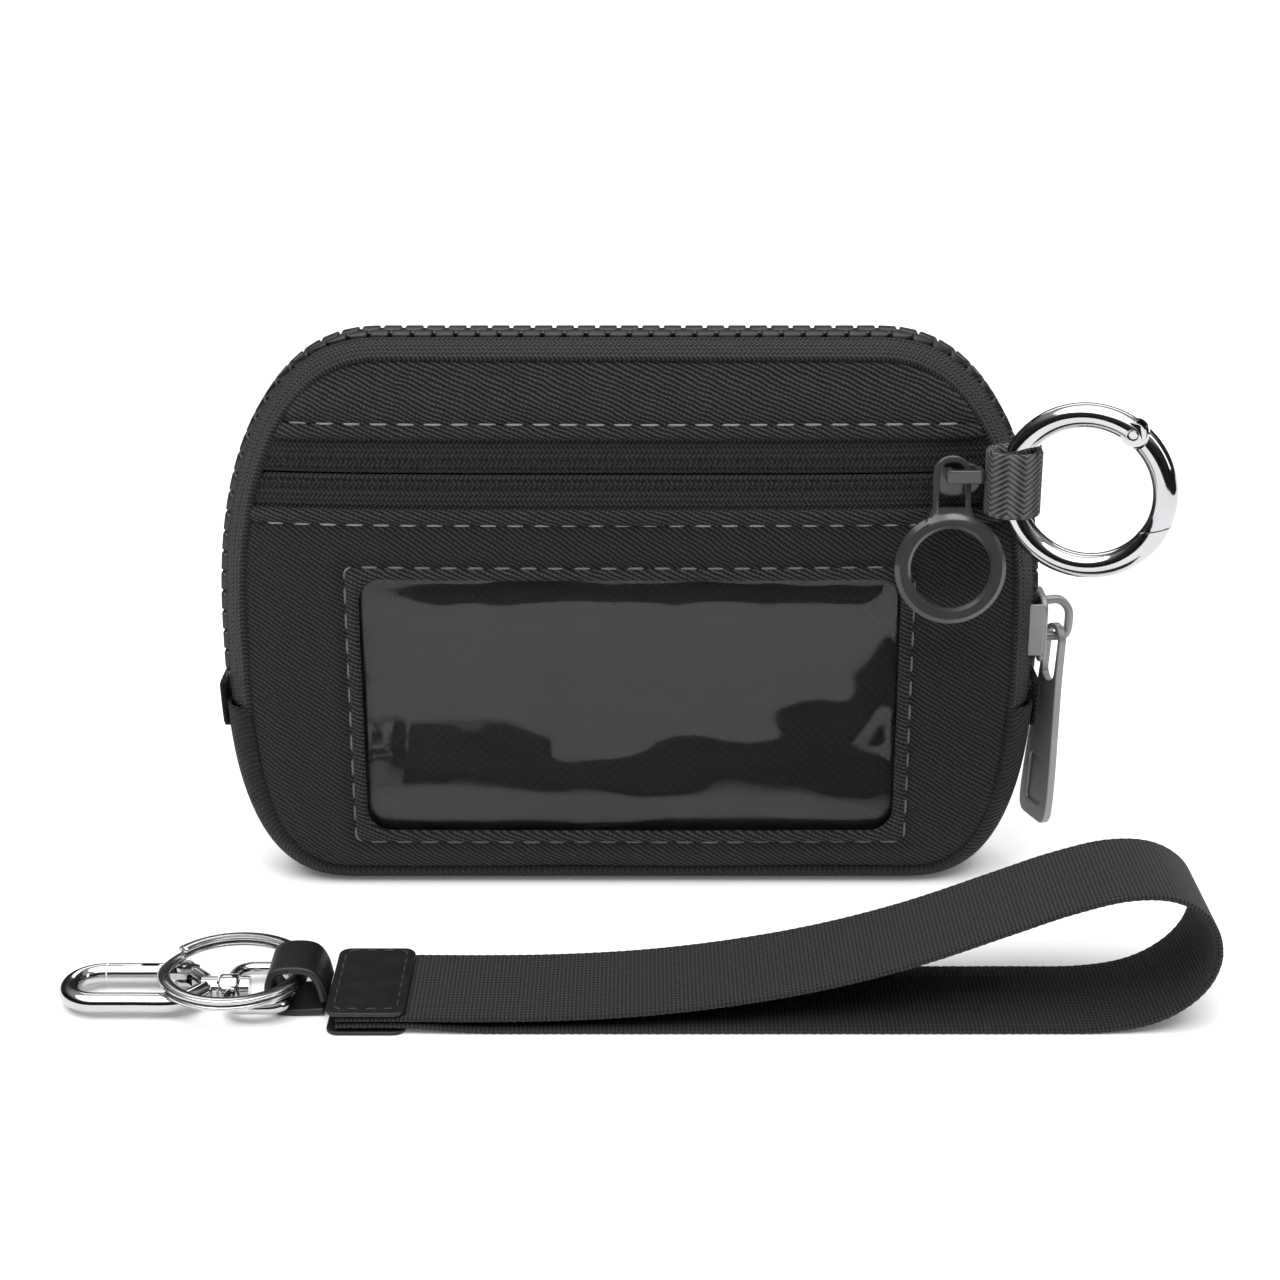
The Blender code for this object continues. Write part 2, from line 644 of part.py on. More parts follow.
part("leather_loop", ribbon(smooth_path(loop_points, 3), 1.1, STRAP_CENTRE_Y - 4.6,
                            STRAP_CENTRE_Y + 4.6), LEATHER, smooth=True)


def rod(name, x0, x1, radius, y=STRAP_CENTRE_Y, z=SWIVEL_Z, steps=14):
    """A round rod along X."""
    rings = [[(x, y + u, z + v) for u, v in circle(radius, steps)] for x in (x0, x1)]
    return part(name, loft(rings), CHROME, smooth=True)


def stud(name, x, y, radius, low, high, steps=14):
    """A round rod along Z."""
    rings = [[(x + u, y + v, z) for u, v in circle(radius, steps)] for z in (low, high)]
    return part(name, loft(rings), CHROME, smooth=True)


eye_path = []
for px, py in rounded(-58.4, -49.6, -6.1, 6.1, 2.6, 5):
    eye_path.append((px, STRAP_CENTRE_Y + py, SWIVEL_Z))
swivel = part("swivel_eye", sweep(eye_path, circle(0.95, 10), (0, 0, 1), closed=True), CHROME,
              smooth=True)
combine(swivel, [rod("boss", -60.0, -57.2, 2.05)], "UNION")
combine(swivel, [rod("boss_bore", -62.0, -55.0, 1.2)], "DIFFERENCE")


def clip_side(y):
    return STRAP_CENTRE_Y + y


CLIP_RIGHT = -66.6
CLIP_LEFT = -82.1 + CLIP_HALF
clip_path = [(-61.6, clip_side(0)), (-62.6, clip_side(-1.6)), (-64.2, clip_side(-3.6)),
             (-66.6, clip_side(-CLIP_HALF)), (-72.0, clip_side(-CLIP_HALF))]
for step in range(13):
    bend = math.radians(270 - 15 * step)
    clip_path.append((CLIP_LEFT + CLIP_HALF * math.cos(bend), clip_side(CLIP_HALF * math.sin(bend))))
clip_body = part("clip_body", sweep([(x, y, SWIVEL_Z) for x, y in clip_path],
                                    circle(CLIP_WIRE, 12), (0, 0, 1)), CHROME, smooth=True)
arm_path = [(-61.6, clip_side(0.2)), (-62.8, clip_side(2.0)), (-64.6, clip_side(3.9))]
arm = part("clip_arm", sweep([(x, y, SWIVEL_Z) for x, y in arm_path], circle(CLIP_WIRE, 12),
                             (0, 0, 1)), CHROME)
lugs = [stud("clip_lug", -66.0, clip_side(CLIP_HALF), 1.5, SWIVEL_Z - 1.45, SWIVEL_Z + 1.45),
        part("clip_bridge", prism([(-66.0, clip_side(3.1)), (-63.6, clip_side(2.6)),
                                   (-63.6, clip_side(4.4)), (-66.0, clip_side(6.0))],
                                  SWIVEL_Z - 1.4, SWIVEL_Z + 1.4, "XY"), CHROME)]
combine(clip_body, [arm] + lugs + [rod("post", -61.6, -56.8, 0.9), rod("neck", -62.6, -60.3, 1.7),
                                   rod("head", -56.9, -55.6, 1.75)], "UNION")
slot_box = prism([(-64.4, clip_side(CLIP_HALF - 4.0)), (-64.4, clip_side(CLIP_HALF + 4.0)),
                  (-70.0, clip_side(CLIP_HALF + 4.0)), (-70.0, clip_side(CLIP_HALF - 4.0))],
                 SWIVEL_Z - 0.85, SWIVEL_Z + 0.85, "XY")
combine(clip_body, [part("lug_slot", slot_box, CHROME),
                    stud("lug_bore", -66.0, clip_side(CLIP_HALF), 0.8, -1, 6)], "DIFFERENCE")
stud("clip_pin", -66.0, clip_side(CLIP_HALF), 0.5, SWIVEL_Z - 1.4, SWIVEL_Z + 1.4)
clip_gate = part("clip_gate", sweep([(-68.0, clip_side(CLIP_HALF), SWIVEL_Z),
                                     (CLIP_LEFT + 0.3, clip_side(CLIP_HALF), SWIVEL_Z)],
                                    circle(CLIP_WIRE, 12), (0, 0, 1)), CHROME, smooth=True)
tongue = prism([(-66.0, clip_side(CLIP_HALF - 1.1)), (-68.6, clip_side(CLIP_HALF - 1.1)),
                (-68.6, clip_side(CLIP_HALF + 1.1)), (-66.0, clip_side(CLIP_HALF + 1.1))],
               SWIVEL_Z - 0.5, SWIVEL_Z + 0.5, "XY")
combine(clip_gate, [part("clip_tongue", tongue, CHROME),
                    stud("tongue_round", -66.0, clip_side(CLIP_HALF), 1.15, SWIVEL_Z - 0.5,
                         SWIVEL_Z + 0.5)], "UNION")
combine(clip_gate, [stud("tongue_bore", -66.0, clip_side(CLIP_HALF), 0.8, -1, 6)], "DIFFERENCE")


def split_ring():
    """A flat wire wound almost twice, stepping up one layer between its two ends."""
    rings = []
    for i in range(56):
        angle = 214.0 + 652.0 * i / 55
        step = min(max((angle - 510.0) / 60.0, 0.0), 1.0)
        z = 4.5 + 0.98 * step * step * (3 - 2 * step)
        turn = math.radians(angle)
        ring = []
        for radius, height in ((-0.85, -0.4), (0.85, -0.4), (0.85, 0.4), (-0.85, 0.4)):
            r = SPLIT_RADIUS + radius
            ring.append((SPLIT_CENTRE[0] + r * math.cos(turn),
                         SPLIT_CENTRE[1] + r * math.sin(turn), z + height))
        rings.append(ring)
    return loft(rings)


part("split_ring", split_ring(), CHROME)
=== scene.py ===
import math
from bisect import bisect_right

import bmesh
import bpy
from mathutils import Matrix, Vector, noise


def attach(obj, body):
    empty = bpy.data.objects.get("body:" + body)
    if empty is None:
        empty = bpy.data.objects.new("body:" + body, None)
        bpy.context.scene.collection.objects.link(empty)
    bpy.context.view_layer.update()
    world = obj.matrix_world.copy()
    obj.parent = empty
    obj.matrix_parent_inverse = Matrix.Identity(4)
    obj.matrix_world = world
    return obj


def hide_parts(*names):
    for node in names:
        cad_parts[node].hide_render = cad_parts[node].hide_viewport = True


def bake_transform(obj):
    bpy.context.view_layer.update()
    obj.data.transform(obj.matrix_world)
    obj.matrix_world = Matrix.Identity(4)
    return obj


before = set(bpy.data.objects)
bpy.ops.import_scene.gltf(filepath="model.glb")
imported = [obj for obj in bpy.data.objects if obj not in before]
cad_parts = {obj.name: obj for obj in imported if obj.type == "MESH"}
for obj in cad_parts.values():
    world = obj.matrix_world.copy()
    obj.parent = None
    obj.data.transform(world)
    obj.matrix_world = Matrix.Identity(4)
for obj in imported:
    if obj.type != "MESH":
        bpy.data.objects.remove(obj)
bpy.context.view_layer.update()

# Dimensions in millimetres, as in the frame's source; piece() turns them into metres.
MM = 0.001
HALF_WIDTH = 64.5
HEIGHT = 90.0
WAIST_Z = 42.0
SEAM_Y = 8.0
SEAM_INSET = 3.0
SIDE_EXTRA_INSET = 1.3
PANEL_CROWN = 2.5
ZIP_END_Z = 30.0
UPPER_STITCH_Z = 77.4
UPPER_LIP_Z = 75.1
POCKET_ZIP_Z = 69.5
LOWER_LIP_Z = 64.1
LOWER_STITCH_Z = 61.7
WINDOW_HALF = 44.0
WINDOW_LOW_Z = 8.1
WINDOW_HIGH_Z = 54.9
LIP_WIDTH = 2.0
TOOTH_PITCH = 3.3
STRAP_CENTRE_Y = -47.1
SWIVEL_Z = 2.3


# ---- node materials

class Nodes:
    """Short calls for the nodes of a material or a world."""

    def __init__(self, owner, shader):
        owner.use_nodes = True
        self.tree = owner.node_tree
        self.shader = self.tree.nodes[shader]

    def set(self, socket, value):
        self.shader.inputs[socket].default_value = value

    def join(self, source, target):
        if isinstance(source, (int, float)):
            target.default_value = source
        else:
            self.tree.links.new(source, target)

    def node(self, kind, *sources, **values):
        """A new node: its first inputs joined in order, others set by name."""
        made = self.tree.nodes.new("ShaderNode" + kind)
        for source, target in zip(sources, made.inputs):
            self.join(source, target)
        for name, value in values.items():
            made.inputs[name].default_value = value
        return made

    def math(self, operation, *values, clamp=False):
        made = self.node("Math", *values)
        made.operation = operation
        made.use_clamp = clamp
        return made.outputs[0]


class Look(Nodes):
    """A Principled material."""

    def __init__(self, name, colour, roughness, metallic=0.0):
        self.material = bpy.data.materials.new(name)
        super().__init__(self.material, "Principled BSDF")
        self.set("Base Color", (*colour, 1.0))
        self.set("Roughness", roughness)
        self.set("Metallic", metallic)

    def times(self, first, second):
        return self.math("MULTIPLY", first, second)

    def plus(self, first, second):
        return self.math("ADD", first, second)

    def blend(self, value, factor, base, clamp=False):
        """The value times the factor, on top of the base."""
        return self.math("MULTIPLY_ADD", value, factor, base, clamp=clamp)

    def uv(self):
        """The surface's own coordinates in millimetres."""
        source = self.node("UVMap")
        source.uv_map = "UVMap"
        split = self.node("SeparateXYZ", source.outputs[0])
        return split.outputs[0], split.outputs[1], source.outputs[0]

    def solid(self):
        """The same from the object's own space, for a solid without its own coordinates."""
        sized = self.node("VectorMath", self.place())
        sized.operation = "SCALE"
        sized.inputs["Scale"].default_value = 1 / MM
        split = self.node("SeparateXYZ", sized.outputs[0])
        return split.outputs[0], split.outputs[2], sized.outputs[0]

    def place(self):
        return self.node("TexCoord").outputs["Object"]

    def noise(self, vector, scale, detail=2.0, rough=0.5):
        made = self.node("TexNoise", vector, Scale=scale, Detail=detail, Roughness=rough)
        return made.outputs["Fac"]

    def wave(self, value, pitch):
        """0 to 1 sine of a length in millimetres."""
        return self.blend(self.math("SINE", self.times(value, 2 * math.pi / pitch)), 0.5, 0.5)

    def paint(self, factor, dark, light):
        ramp = self.node("Mix", factor)
        ramp.data_type = "RGBA"
        ramp.inputs[6].default_value = (*dark, 1.0)
        ramp.inputs[7].default_value = (*light, 1.0)
        self.join(ramp.outputs[2], self.shader.inputs["Base Color"])

    def rough(self, factor, low, high):
        self.join(self.blend(factor, high - low, low), self.shader.inputs["Roughness"])

    def bump(self, height, distance, strength=1.0):
        made = self.node("Bump", Strength=strength, Distance=distance * MM)
        self.join(height, made.inputs["Height"])
        self.join(made.outputs[0], self.shader.inputs["Normal"])

    def cloth(self, height, fibre, dark, light, speck, power, fuzz, relief, strength=1.0):
        """Colour and relief of yarns from their height and the fibres on them."""
        speckle = self.blend(fibre, 2.0, -1.0)
        shade = self.blend(speckle, speck, height, clamp=True)
        self.paint(self.math("POWER", shade, power), dark, light)
        self.set("Specular IOR Level", 0.25)
        self.bump(self.blend(fibre, fuzz, height), relief, strength)


def twill(name, dark, light, angle=-24.0):
    """Diagonal twill: slanted ridges cut into short floats."""
    look = Look(name, light, 0.75)
    u, v, vector = look.uv()
    turn = math.radians(angle)
    across = look.plus(look.times(u, -math.sin(turn)), look.times(v, math.cos(turn)))
    across = look.plus(across, look.times(look.noise(vector, 0.22), 0.9))
    along = look.plus(look.times(u, math.cos(turn)), look.times(v, math.sin(turn)))
    ridge = look.wave(across, 0.66)
    floats = look.wave(look.plus(along, look.times(across, 1.3)), 0.7)
    height = look.times(ridge, look.blend(floats, 0.4, 0.6))
    fibre = look.noise(vector, 3.2, 3.0, 0.7)
    look.cloth(height, fibre, dark, light, 0.55, 2.0, 0.6, 0.36)
    look.rough(fibre, 0.6, 0.85)
    look.set("Sheen Weight", 0.03)
    return look.material


def knit(name, dark, light, holes=()):
    """Zip tape: columns of loops that lean one way and then the other, and rows of holes."""
    rib = 0.85
    look = Look(name, light, 0.75)
    u, v, vector = look.uv()
    lean = look.math("PINGPONG", v, rib)
    loops = look.wave(look.plus(u, look.times(lean, 0.8)), 0.72)
    fibre = look.noise(vector, 3.0, 3.0, 0.7)
    height = look.blend(loops, 0.65, look.times(look.wave(v, rib), 0.35))
    for row in holes:
        gap = look.math("ABSOLUTE", look.math("SUBTRACT", v, row))
        near = look.math("SUBTRACT", 1.0, look.times(gap, 3.2), clamp=True)
        height = look.blend(look.times(near, look.wave(u, 0.95)), -1.6, height)
    look.cloth(height, fibre, dark, light, 0.5, 1.3, 0.6, 0.42)
    look.rough(fibre, 0.6, 0.85)
    look.set("Sheen Weight", 0.04)
    return look.material


def plain_weave(name, dark, light, pitch, solid=False):
    look = Look(name, light, 0.7)
    u, v, vector = look.solid() if solid else look.uv()
    warp = look.wave(u, pitch)
    weft = look.wave(v, pitch)
    height = look.math("ABSOLUTE", look.math("SUBTRACT", warp, weft))
    fibre = look.noise(vector, 2.5)
    look.paint(look.blend(fibre, 0.4, look.times(height, 0.6)), dark, light)
    look.rough(fibre, 0.55, 0.8)
    look.bump(height, 0.07, 0.8)
    return look.material


def ribbed(name, dark, light, pitch=0.6, column=0.0):
    """Webbing: cross ribs, or columns of floats that slant in turn."""
    look = Look(name, light, 0.78)
    u, v, vector = look.uv()
    if column:
        lean = look.times(look.math("PINGPONG", u, column), 0.75)
        ribs = look.wave(look.plus(v, lean), pitch)
        yarn = look.wave(u, column)
    else:
        ribs = look.wave(u, pitch)
        yarn = look.wave(v, 0.75)
    fibre = look.noise(vector, 3.0, 3.0, 0.7)
    height = look.blend(yarn, 0.3, look.times(ribs, 0.7))
    look.cloth(height, fibre, dark, light, 0.45, 1.0, 0.4, 0.24, 0.9)
    look.rough(fibre, 0.65, 0.88)
    look.set("Sheen Weight", 0.05)
    return look.material


def leather(name, dark, light):
    look = Look(name, light, 0.45)
    vector = look.place()
    grain = look.noise(vector, 1800.0, 4.0, 0.6)
    broad = look.noise(vector, 240.0)
    look.paint(look.blend(grain, 0.5, look.times(broad, 0.5)), dark, light)
    look.rough(broad, 0.38, 0.58)
    look.bump(grain, 0.05, 0.5)
    return look.material


def metal(name, dark, light, low, high, metallic=1.0, grain=0.006):
    look = Look(name, light, low, metallic)
    vector = look.place()
    broad = look.noise(vector, 160.0, 3.0)
    fine = look.noise(vector, 900.0, 3.0)
    look.paint(broad, dark, light)
    look.rough(look.blend(fine, 0.5, look.times(broad, 0.5)), low, high)
    look.bump(fine, grain, 0.5)
    return look.material


def moulded(name, dark, light):
    look = Look(name, light, 0.35)
    vector = look.place()
    fine = look.noise(vector, 1400.0, 3.0)
    look.paint(look.noise(vector, 300.0), dark, light)
    look.rough(fine, 0.28, 0.5)
    look.bump(fine, 0.03, 0.5)
    return look.material


def thread(name, dark, light):
    look = Look(name, light, 0.55)
    u, v, _ = look.uv()
    twist = look.wave(look.plus(u, look.times(v, 0.8)), 0.45)
    look.paint(twist, dark, light)
    look.set("Sheen Weight", 0.05)
    look.rough(twist, 0.45, 0.65)
    look.bump(twist, 0.06, 0.7)
    return look.material


def clear_sheet(name):
    """Flexible clear window: thin, glossy and softly wavy."""
    look = Look(name, (0.84, 0.85, 0.87), 0.04)
    vector = look.place()
    waves = look.noise(vector, 21.0, 1.5, 0.4)
    fine = look.noise(vector, 300.0, 1.0)
    look.set("Transmission Weight", 1.0)
    look.set("IOR", 1.3)
    look.rough(fine, 0.02, 0.05)
    look.bump(look.blend(fine, 0.003, waves), 5.4, 0.8)
    return look.material


def grey(value, blue=None):
    return (value, value, blue or value)


INK = grey(0.001)
SOOT = grey(0.004, 0.005)
TWILL = twill("twill_nylon", INK, grey(0.082, 0.084))
TWILL_LOW = twill("twill_nylon_low", INK, grey(0.052, 0.053), -34.0)
GUSSET = twill("twill_gusset", grey(0.002), grey(0.024, 0.025), -48.0)
TAPE = knit("tape_knit", INK, grey(0.048, 0.050))
POCKET_TAPE = knit("pocket_tape_knit", INK, grey(0.042, 0.044), (67.3, 68.4, 70.6, 71.7))
LINING = plain_weave("lining_weave", SOOT, grey(0.020, 0.022), 0.8)
BAG = plain_weave("bag_weave", SOOT, grey(0.020, 0.022), 0.8, True)
BACKING = plain_weave("backing_weave", grey(0.005), grey(0.019, 0.020), 1.5)
WEB = ribbed("webbing_rib", grey(0.002), grey(0.034, 0.035))
TAB = ribbed("tab_herringbone", grey(0.004), grey(0.130, 0.135), 0.85, 2.4)
LEATHER = leather("smooth_leather", grey(0.002), grey(0.008, 0.009))
CHROME = metal("polished_chrome", grey(0.44, 0.45), grey(0.58, 0.59), 0.05, 0.10)
RING_METAL = metal("brushed_ring", grey(0.46, 0.47), grey(0.62, 0.63), 0.14, 0.26)
SATIN = metal("satin_slider", grey(0.22, 0.225), grey(0.32, 0.325), 0.32, 0.45, 0.5, 0.02)
GLOSS = metal("gloss_pull", grey(0.045, 0.047), grey(0.070, 0.073), 0.12, 0.2, 0.35)
TEETH = moulded("moulded_teeth", grey(0.002), grey(0.007, 0.0075))
COIL = moulded("pocket_coil", SOOT, grey(0.012, 0.013))
THREAD = thread("grey_thread", grey(0.12, 0.125), grey(0.30, 0.31))
THREAD_DARK = thread("dark_thread", grey(0.07, 0.073), grey(0.18, 0.185))
THREAD_BLACK = thread("black_thread", SOOT, grey(0.022, 0.024))
VINYL = clear_sheet("clear_vinyl")


# ---- mesh helpers

def loose(name, mesh, look):
    """An object from a mesh in millimetres, not yet a piece."""
    for vertex in mesh.verts:
        vertex.co *= MM
    data = bpy.data.meshes.new(name)
    mesh.to_mesh(data)
    mesh.free()
    data.materials.append(look)
    made = bpy.data.objects.new(name, data)
    bpy.context.scene.collection.objects.link(made)
    return made


def piece(name, mesh, look, body, nodes=()):
    """A named piece that rides on a body and stands for CAD nodes."""
    made = loose(name, mesh, look)
    made.data.shade_smooth()
    if body:
        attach(made, body)
    if nodes:
        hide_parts(*nodes)
    return made


def bake(target):
    """Applies the modifiers of a piece."""
    bpy.context.view_layer.update()
    graph = bpy.context.evaluated_depsgraph_get()
    target.data = bpy.data.meshes.new_from_object(target.evaluated_get(graph))
    target.modifiers.clear()
    return target


def thicken(target, thickness, offset=0.0):
    step = target.modifiers.new("thickness", "SOLIDIFY")
    step.thickness = thickness * MM
    step.offset = offset
    return bake(target)


def finish_edges(target, width):
    """Rounds hard edges and keeps flat faces clean."""
    step = target.modifiers.new("bevel", "BEVEL")
    step.width = width * MM
    step.segments = 3
    step.limit_method = "ANGLE"
    step.angle_limit = math.radians(35)
    step.harden_normals = True
    return bake(target)


def combine(target, operation, parts):
    """A boolean with each part in turn: a mesh, or an object made from one."""
    for part in parts:
        if isinstance(part, bmesh.types.BMesh):
            part = loose("tool", part, target.data.materials[0])
        step = target.modifiers.new("cut", "BOOLEAN")
        step.operation = operation
        step.solver = "EXACT"
        step.object = part
        bake(target)
        bpy.data.objects.remove(part, do_unlink=True)


def add(target, *parts):
    combine(target, "UNION", parts)


def cut(target, *parts):
    combine(target, "DIFFERENCE", parts)


def sharpen(target):
    target.data.set_sharp_from_angle(angle=math.radians(40))


def uv_layer(mesh):
    return mesh.loops.layers.uv.get("UVMap") or mesh.loops.layers.uv.new("UVMap")


def grid(rows, uvs, closed_u=False, closed_v=False, flip=False, mesh=None):
    """A quad surface over rows of points, with its own coordinates in millimetres."""
    mesh = mesh or bmesh.new()
    layer = uv_layer(mesh)
    verts = [[mesh.verts.new(point) for point in row] for row in rows]
    count_v = len(rows)
    count_u = len(rows[0])
    for j in range(count_v if closed_v else count_v - 1):
        for i in range(count_u if closed_u else count_u - 1):
            ids = [(j, i), (j, i + 1), (j + 1, i + 1), (j + 1, i)]
            if flip:
                ids.reverse()
            face = mesh.faces.new([verts[a % count_v][b % count_u] for a, b in ids])
            for loop, (a, b) in zip(face.loops, ids):
                loop[layer].uv = uvs(a, b)
    return mesh


def sweep(path, section, normal, closed=False, mesh=None, scale=None):
    """Carries a section along a path near the plane with this normal, with end caps."""
    points = [Vector(p) for p in path]
    up = Vector(normal).normalized()
    last = len(points) - 1
    lengths = [0.0]
    for a, b in zip(points, points[1:]):
        lengths.append(lengths[-1] + (b - a).length)
    lengths.append(lengths[-1] + (points[0] - points[-1]).length)
    rings = []
    for i, point in enumerate(points):
        before = points[i - 1] if (i > 0 or closed) else point
        after = points[(i + 1) % len(points)] if (i < last or closed) else point
        along = (after - before).normalized()
        across = along.cross(up).normalized()
        upward = across.cross(along).normalized()
        size = scale(i) if scale else (1.0, 1.0)
        rings.append([point + across * u * size[0] + upward * v * size[1] for u, v in section])
    rounds = [0.0]
    for a, b in zip(section, section[1:] + section[:1]):
        rounds.append(rounds[-1] + math.dist(a, b))
    mesh = grid(rings, lambda a, b: (lengths[min(a, len(lengths) - 1)], rounds[b]),
                closed_u=True, closed_v=closed, mesh=mesh)
    if not closed:
        mesh.verts.ensure_lookup_table()
        count = len(section)
        total = len(mesh.verts)
        first = mesh.verts[total - count * len(rings):total - count * (len(rings) - 1)]
        mesh.faces.new(list(reversed(first)))
        mesh.faces.new(mesh.verts[total - count:total])
    bmesh.ops.recalc_face_normals(mesh, faces=mesh.faces)
    return mesh


def circle(radius, steps=20):
    return [(radius * math.cos(2 * math.pi * i / steps), radius * math.sin(2 * math.pi * i / steps))
            for i in range(steps)]


def flat_section(thickness, width, radius, across=10):
    """A strip's section: thickness first, width second, with rounded edges."""
    points = []
    for sign in (1, -1):
        for i in range(across):
            v = sign * (-(width / 2 - radius) + (width - 2 * radius) * i / across)
            points.append((sign * thickness / 2, v))
        for i in range(5):
            turn = math.pi * i / 4
            v = sign * (width / 2 - radius + radius * math.sin(turn))
            points.append((sign * thickness / 2 * math.cos(turn), v))
    return points


def arc(radius, x=0.0, y=0.0, steps=16):
    """The upper half of a circle, from right to left."""
    turns = [math.pi * i / steps for i in range(steps + 1)]
    return [(x + radius * math.cos(a), y + radius * math.sin(a)) for a in turns]


def box(x0, x1, y0, y1):
    return [(x0, y0), (x1, y0), (x1, y1), (x0, y1)]


def rounded(x0, x1, z0, z1, radius, steps=6):
    points = []
    for x, z, start in ((x1, z1, 0), (x0, z1, 90), (x0, z0, 180), (x1, z0, 270)):
        cx = x - math.copysign(radius, x - (x0 + x1) / 2)
        cz = z - math.copysign(radius, z - (z0 + z1) / 2)
        for i in range(steps + 1):
            turn = math.radians(start + 90 * i / steps)
            points.append((cx + radius * math.cos(turn), cz + radius * math.sin(turn)))
    return points


def smooth_path(points, steps=6):
    """A Catmull-Rom curve through the points."""
    ends = [points[0]] + list(points) + [points[-1]]
    path = []
    for a, b, c, d in zip(ends, ends[1:], ends[2:], ends[3:]):
        for i in range(steps):
            t = i / steps
            path.append(tuple(
                0.5 * (2 * q + (r - p) * t + (2 * p - 5 * q + 4 * r - s) * t * t
                       + (3 * q - p - 3 * r + s) * t ** 3)
                for p, q, r, s in zip(a, b, c, d)))
    path.append(tuple(points[-1]))
    return path


def even_path(points, spacing):
    """The same path with points a fixed distance apart."""
    path = [Vector(points[0])]
    need = spacing
    for a, b in zip(points, points[1:]):
        a = Vector(a)
        b = Vector(b)
        length = (b - a).length
        done = 0.0
        while length - done >= need:
            done += need
            path.append(a + (b - a) * (done / length))
            need = spacing
        need -= length - done
    path.append(Vector(points[-1]))
    return path


def solid(low, high):
    """A closed solid between two rings of points."""
    mesh = bmesh.new()
    layer = uv_layer(mesh)
    rings = [[mesh.verts.new(point) for point in ring] for ring in (low, high)]
    count = len(low)
    for i in range(count):
        j = (i + 1) % count
        mesh.faces.new((rings[0][i], rings[0][j], rings[1][j], rings[1][i]))
    mesh.faces.new(list(reversed(rings[0])))
    mesh.faces.new(rings[1])
    for face in mesh.faces:
        for loop in face.loops:
            co = loop.vert.co
            loop[layer].uv = (co.x + co.z * 0.01, co.y + co.z)
    bmesh.ops.recalc_face_normals(mesh, faces=mesh.faces)
    return mesh


def prism(outline, low, high, plane="XZ"):
    place = {
        "XZ": lambda a, b, c: (a, c, b),
        "XY": lambda a, b, c: (a, b, c),
        "YZ": lambda a, b, c: (c, a, b),
    }[plane]
    return solid(*[[place(a, b, c) for a, b in outline] for c in (low, high)])


def rumple(x, y, z):
    return noise.noise(Vector((x, y, z)))


def flat_grid(rows, flip=False):
    """A surface whose own coordinates are its x and z."""
    return grid(rows, lambda a, b: (rows[a][b][0], rows[a][b][2]), flip=flip)


# ---- outline, as in the CAD

def quarter(flat, side, rise, power, steps=90):
    points = []
    for i in range(steps + 1):
        turn = math.pi / 2 * i / steps
        points.append((flat + (side - flat) * max(math.cos(turn), 0.0) ** (2 / power),
                       WAIST_Z + rise * math.sin(turn) ** (2 / power)))
    return points


CREST = ([(0.0, HEIGHT)] + list(reversed(quarter(38.0, HALF_WIDTH, HEIGHT - WAIST_Z, 2.3)))
         + quarter(44.0, HALF_WIDTH, -WAIST_Z, 2.8)[1:] + [(0.0, 0.0)])
LENGTHS = [0.0]
for here, there in zip(CREST, CREST[1:]):
    LENGTHS.append(LENGTHS[-1] + math.dist(here, there))
HALF_LENGTH = LENGTHS[-1]


def crest(s):
    """Point and outward normal at arc length s from the top centre, positive to the right."""
    side = -1.0 if s < 0 else 1.0

    def at(length):
        length = min(max(length, 0.0), HALF_LENGTH - 1e-6)
        low = bisect_right(LENGTHS, length) - 1
        t = (length - LENGTHS[low]) / max(LENGTHS[low + 1] - LENGTHS[low], 1e-9)
        a, b = CREST[low], CREST[low + 1]
        return (a[0] + (b[0] - a[0]) * t, a[1] + (b[1] - a[1]) * t)

    distance = min(abs(s), HALF_LENGTH - 1e-6)
    x, z = at(distance)
    x0, z0 = at(distance - 1.2)
    x1, z1 = at(distance + 1.2)
    size = math.hypot(x1 - x0, z1 - z0)
    return side * x, z, side * -(z1 - z0) / size, (x1 - x0) / size


def length_at(z):
    for i in range(1, len(CREST)):
        if CREST[i][1] < z:
            return LENGTHS[i]
    return HALF_LENGTH


def seam_depth(nx):
    return SEAM_INSET + SIDE_EXTRA_INSET * abs(nx)


def inset_point(s, inset, y):
    x, z, nx, nz = crest(s)
    return (x - nx * inset, y, z - nz * inset)


def crown(x, z):
    across = max(0.0, 1 - (abs(x) / 60.0) ** 4)
    along = max(0.0, 1 - (abs(z - 45.0) / 42.0) ** 4)
    return SEAM_Y + PANEL_CROWN * across * along


SEAM = []
for i in range(241):
    s = HALF_LENGTH - HALF_LENGTH * i / 240
    x, z, nx, nz = crest(s)
    depth = seam_depth(nx)
    SEAM.append((x - nx * depth, z - nz * depth))


def seam_x(z):
    """Half-width of the seam outline at a height."""
    if z <= SEAM[0][1]:
        return 44.0
    if z >= SEAM[-1][1]:
        return 36.0
    best = 0.0
    for a, b in zip(SEAM, SEAM[1:]):
        if a[1] <= z < b[1]:
            t = (z - a[1]) / (b[1] - a[1])
            best = max(best, a[0] + (b[0] - a[0]) * t)
    return best


def seam_distance(x, z):
    """Distance from a point inside the seam outline to the outline."""
    x = abs(x)
    best = 99.0
    for a, b in zip(SEAM[::4], SEAM[4::4]):
        dx = b[0] - a[0]
        dz = b[1] - a[1]
        t = min(max(((x - a[0]) * dx + (z - a[1]) * dz) / (dx * dx + dz * dz + 1e-12), 0), 1)
        best = min(best, math.hypot(x - a[0] - t * dx, z - a[1] - t * dz))
    return best


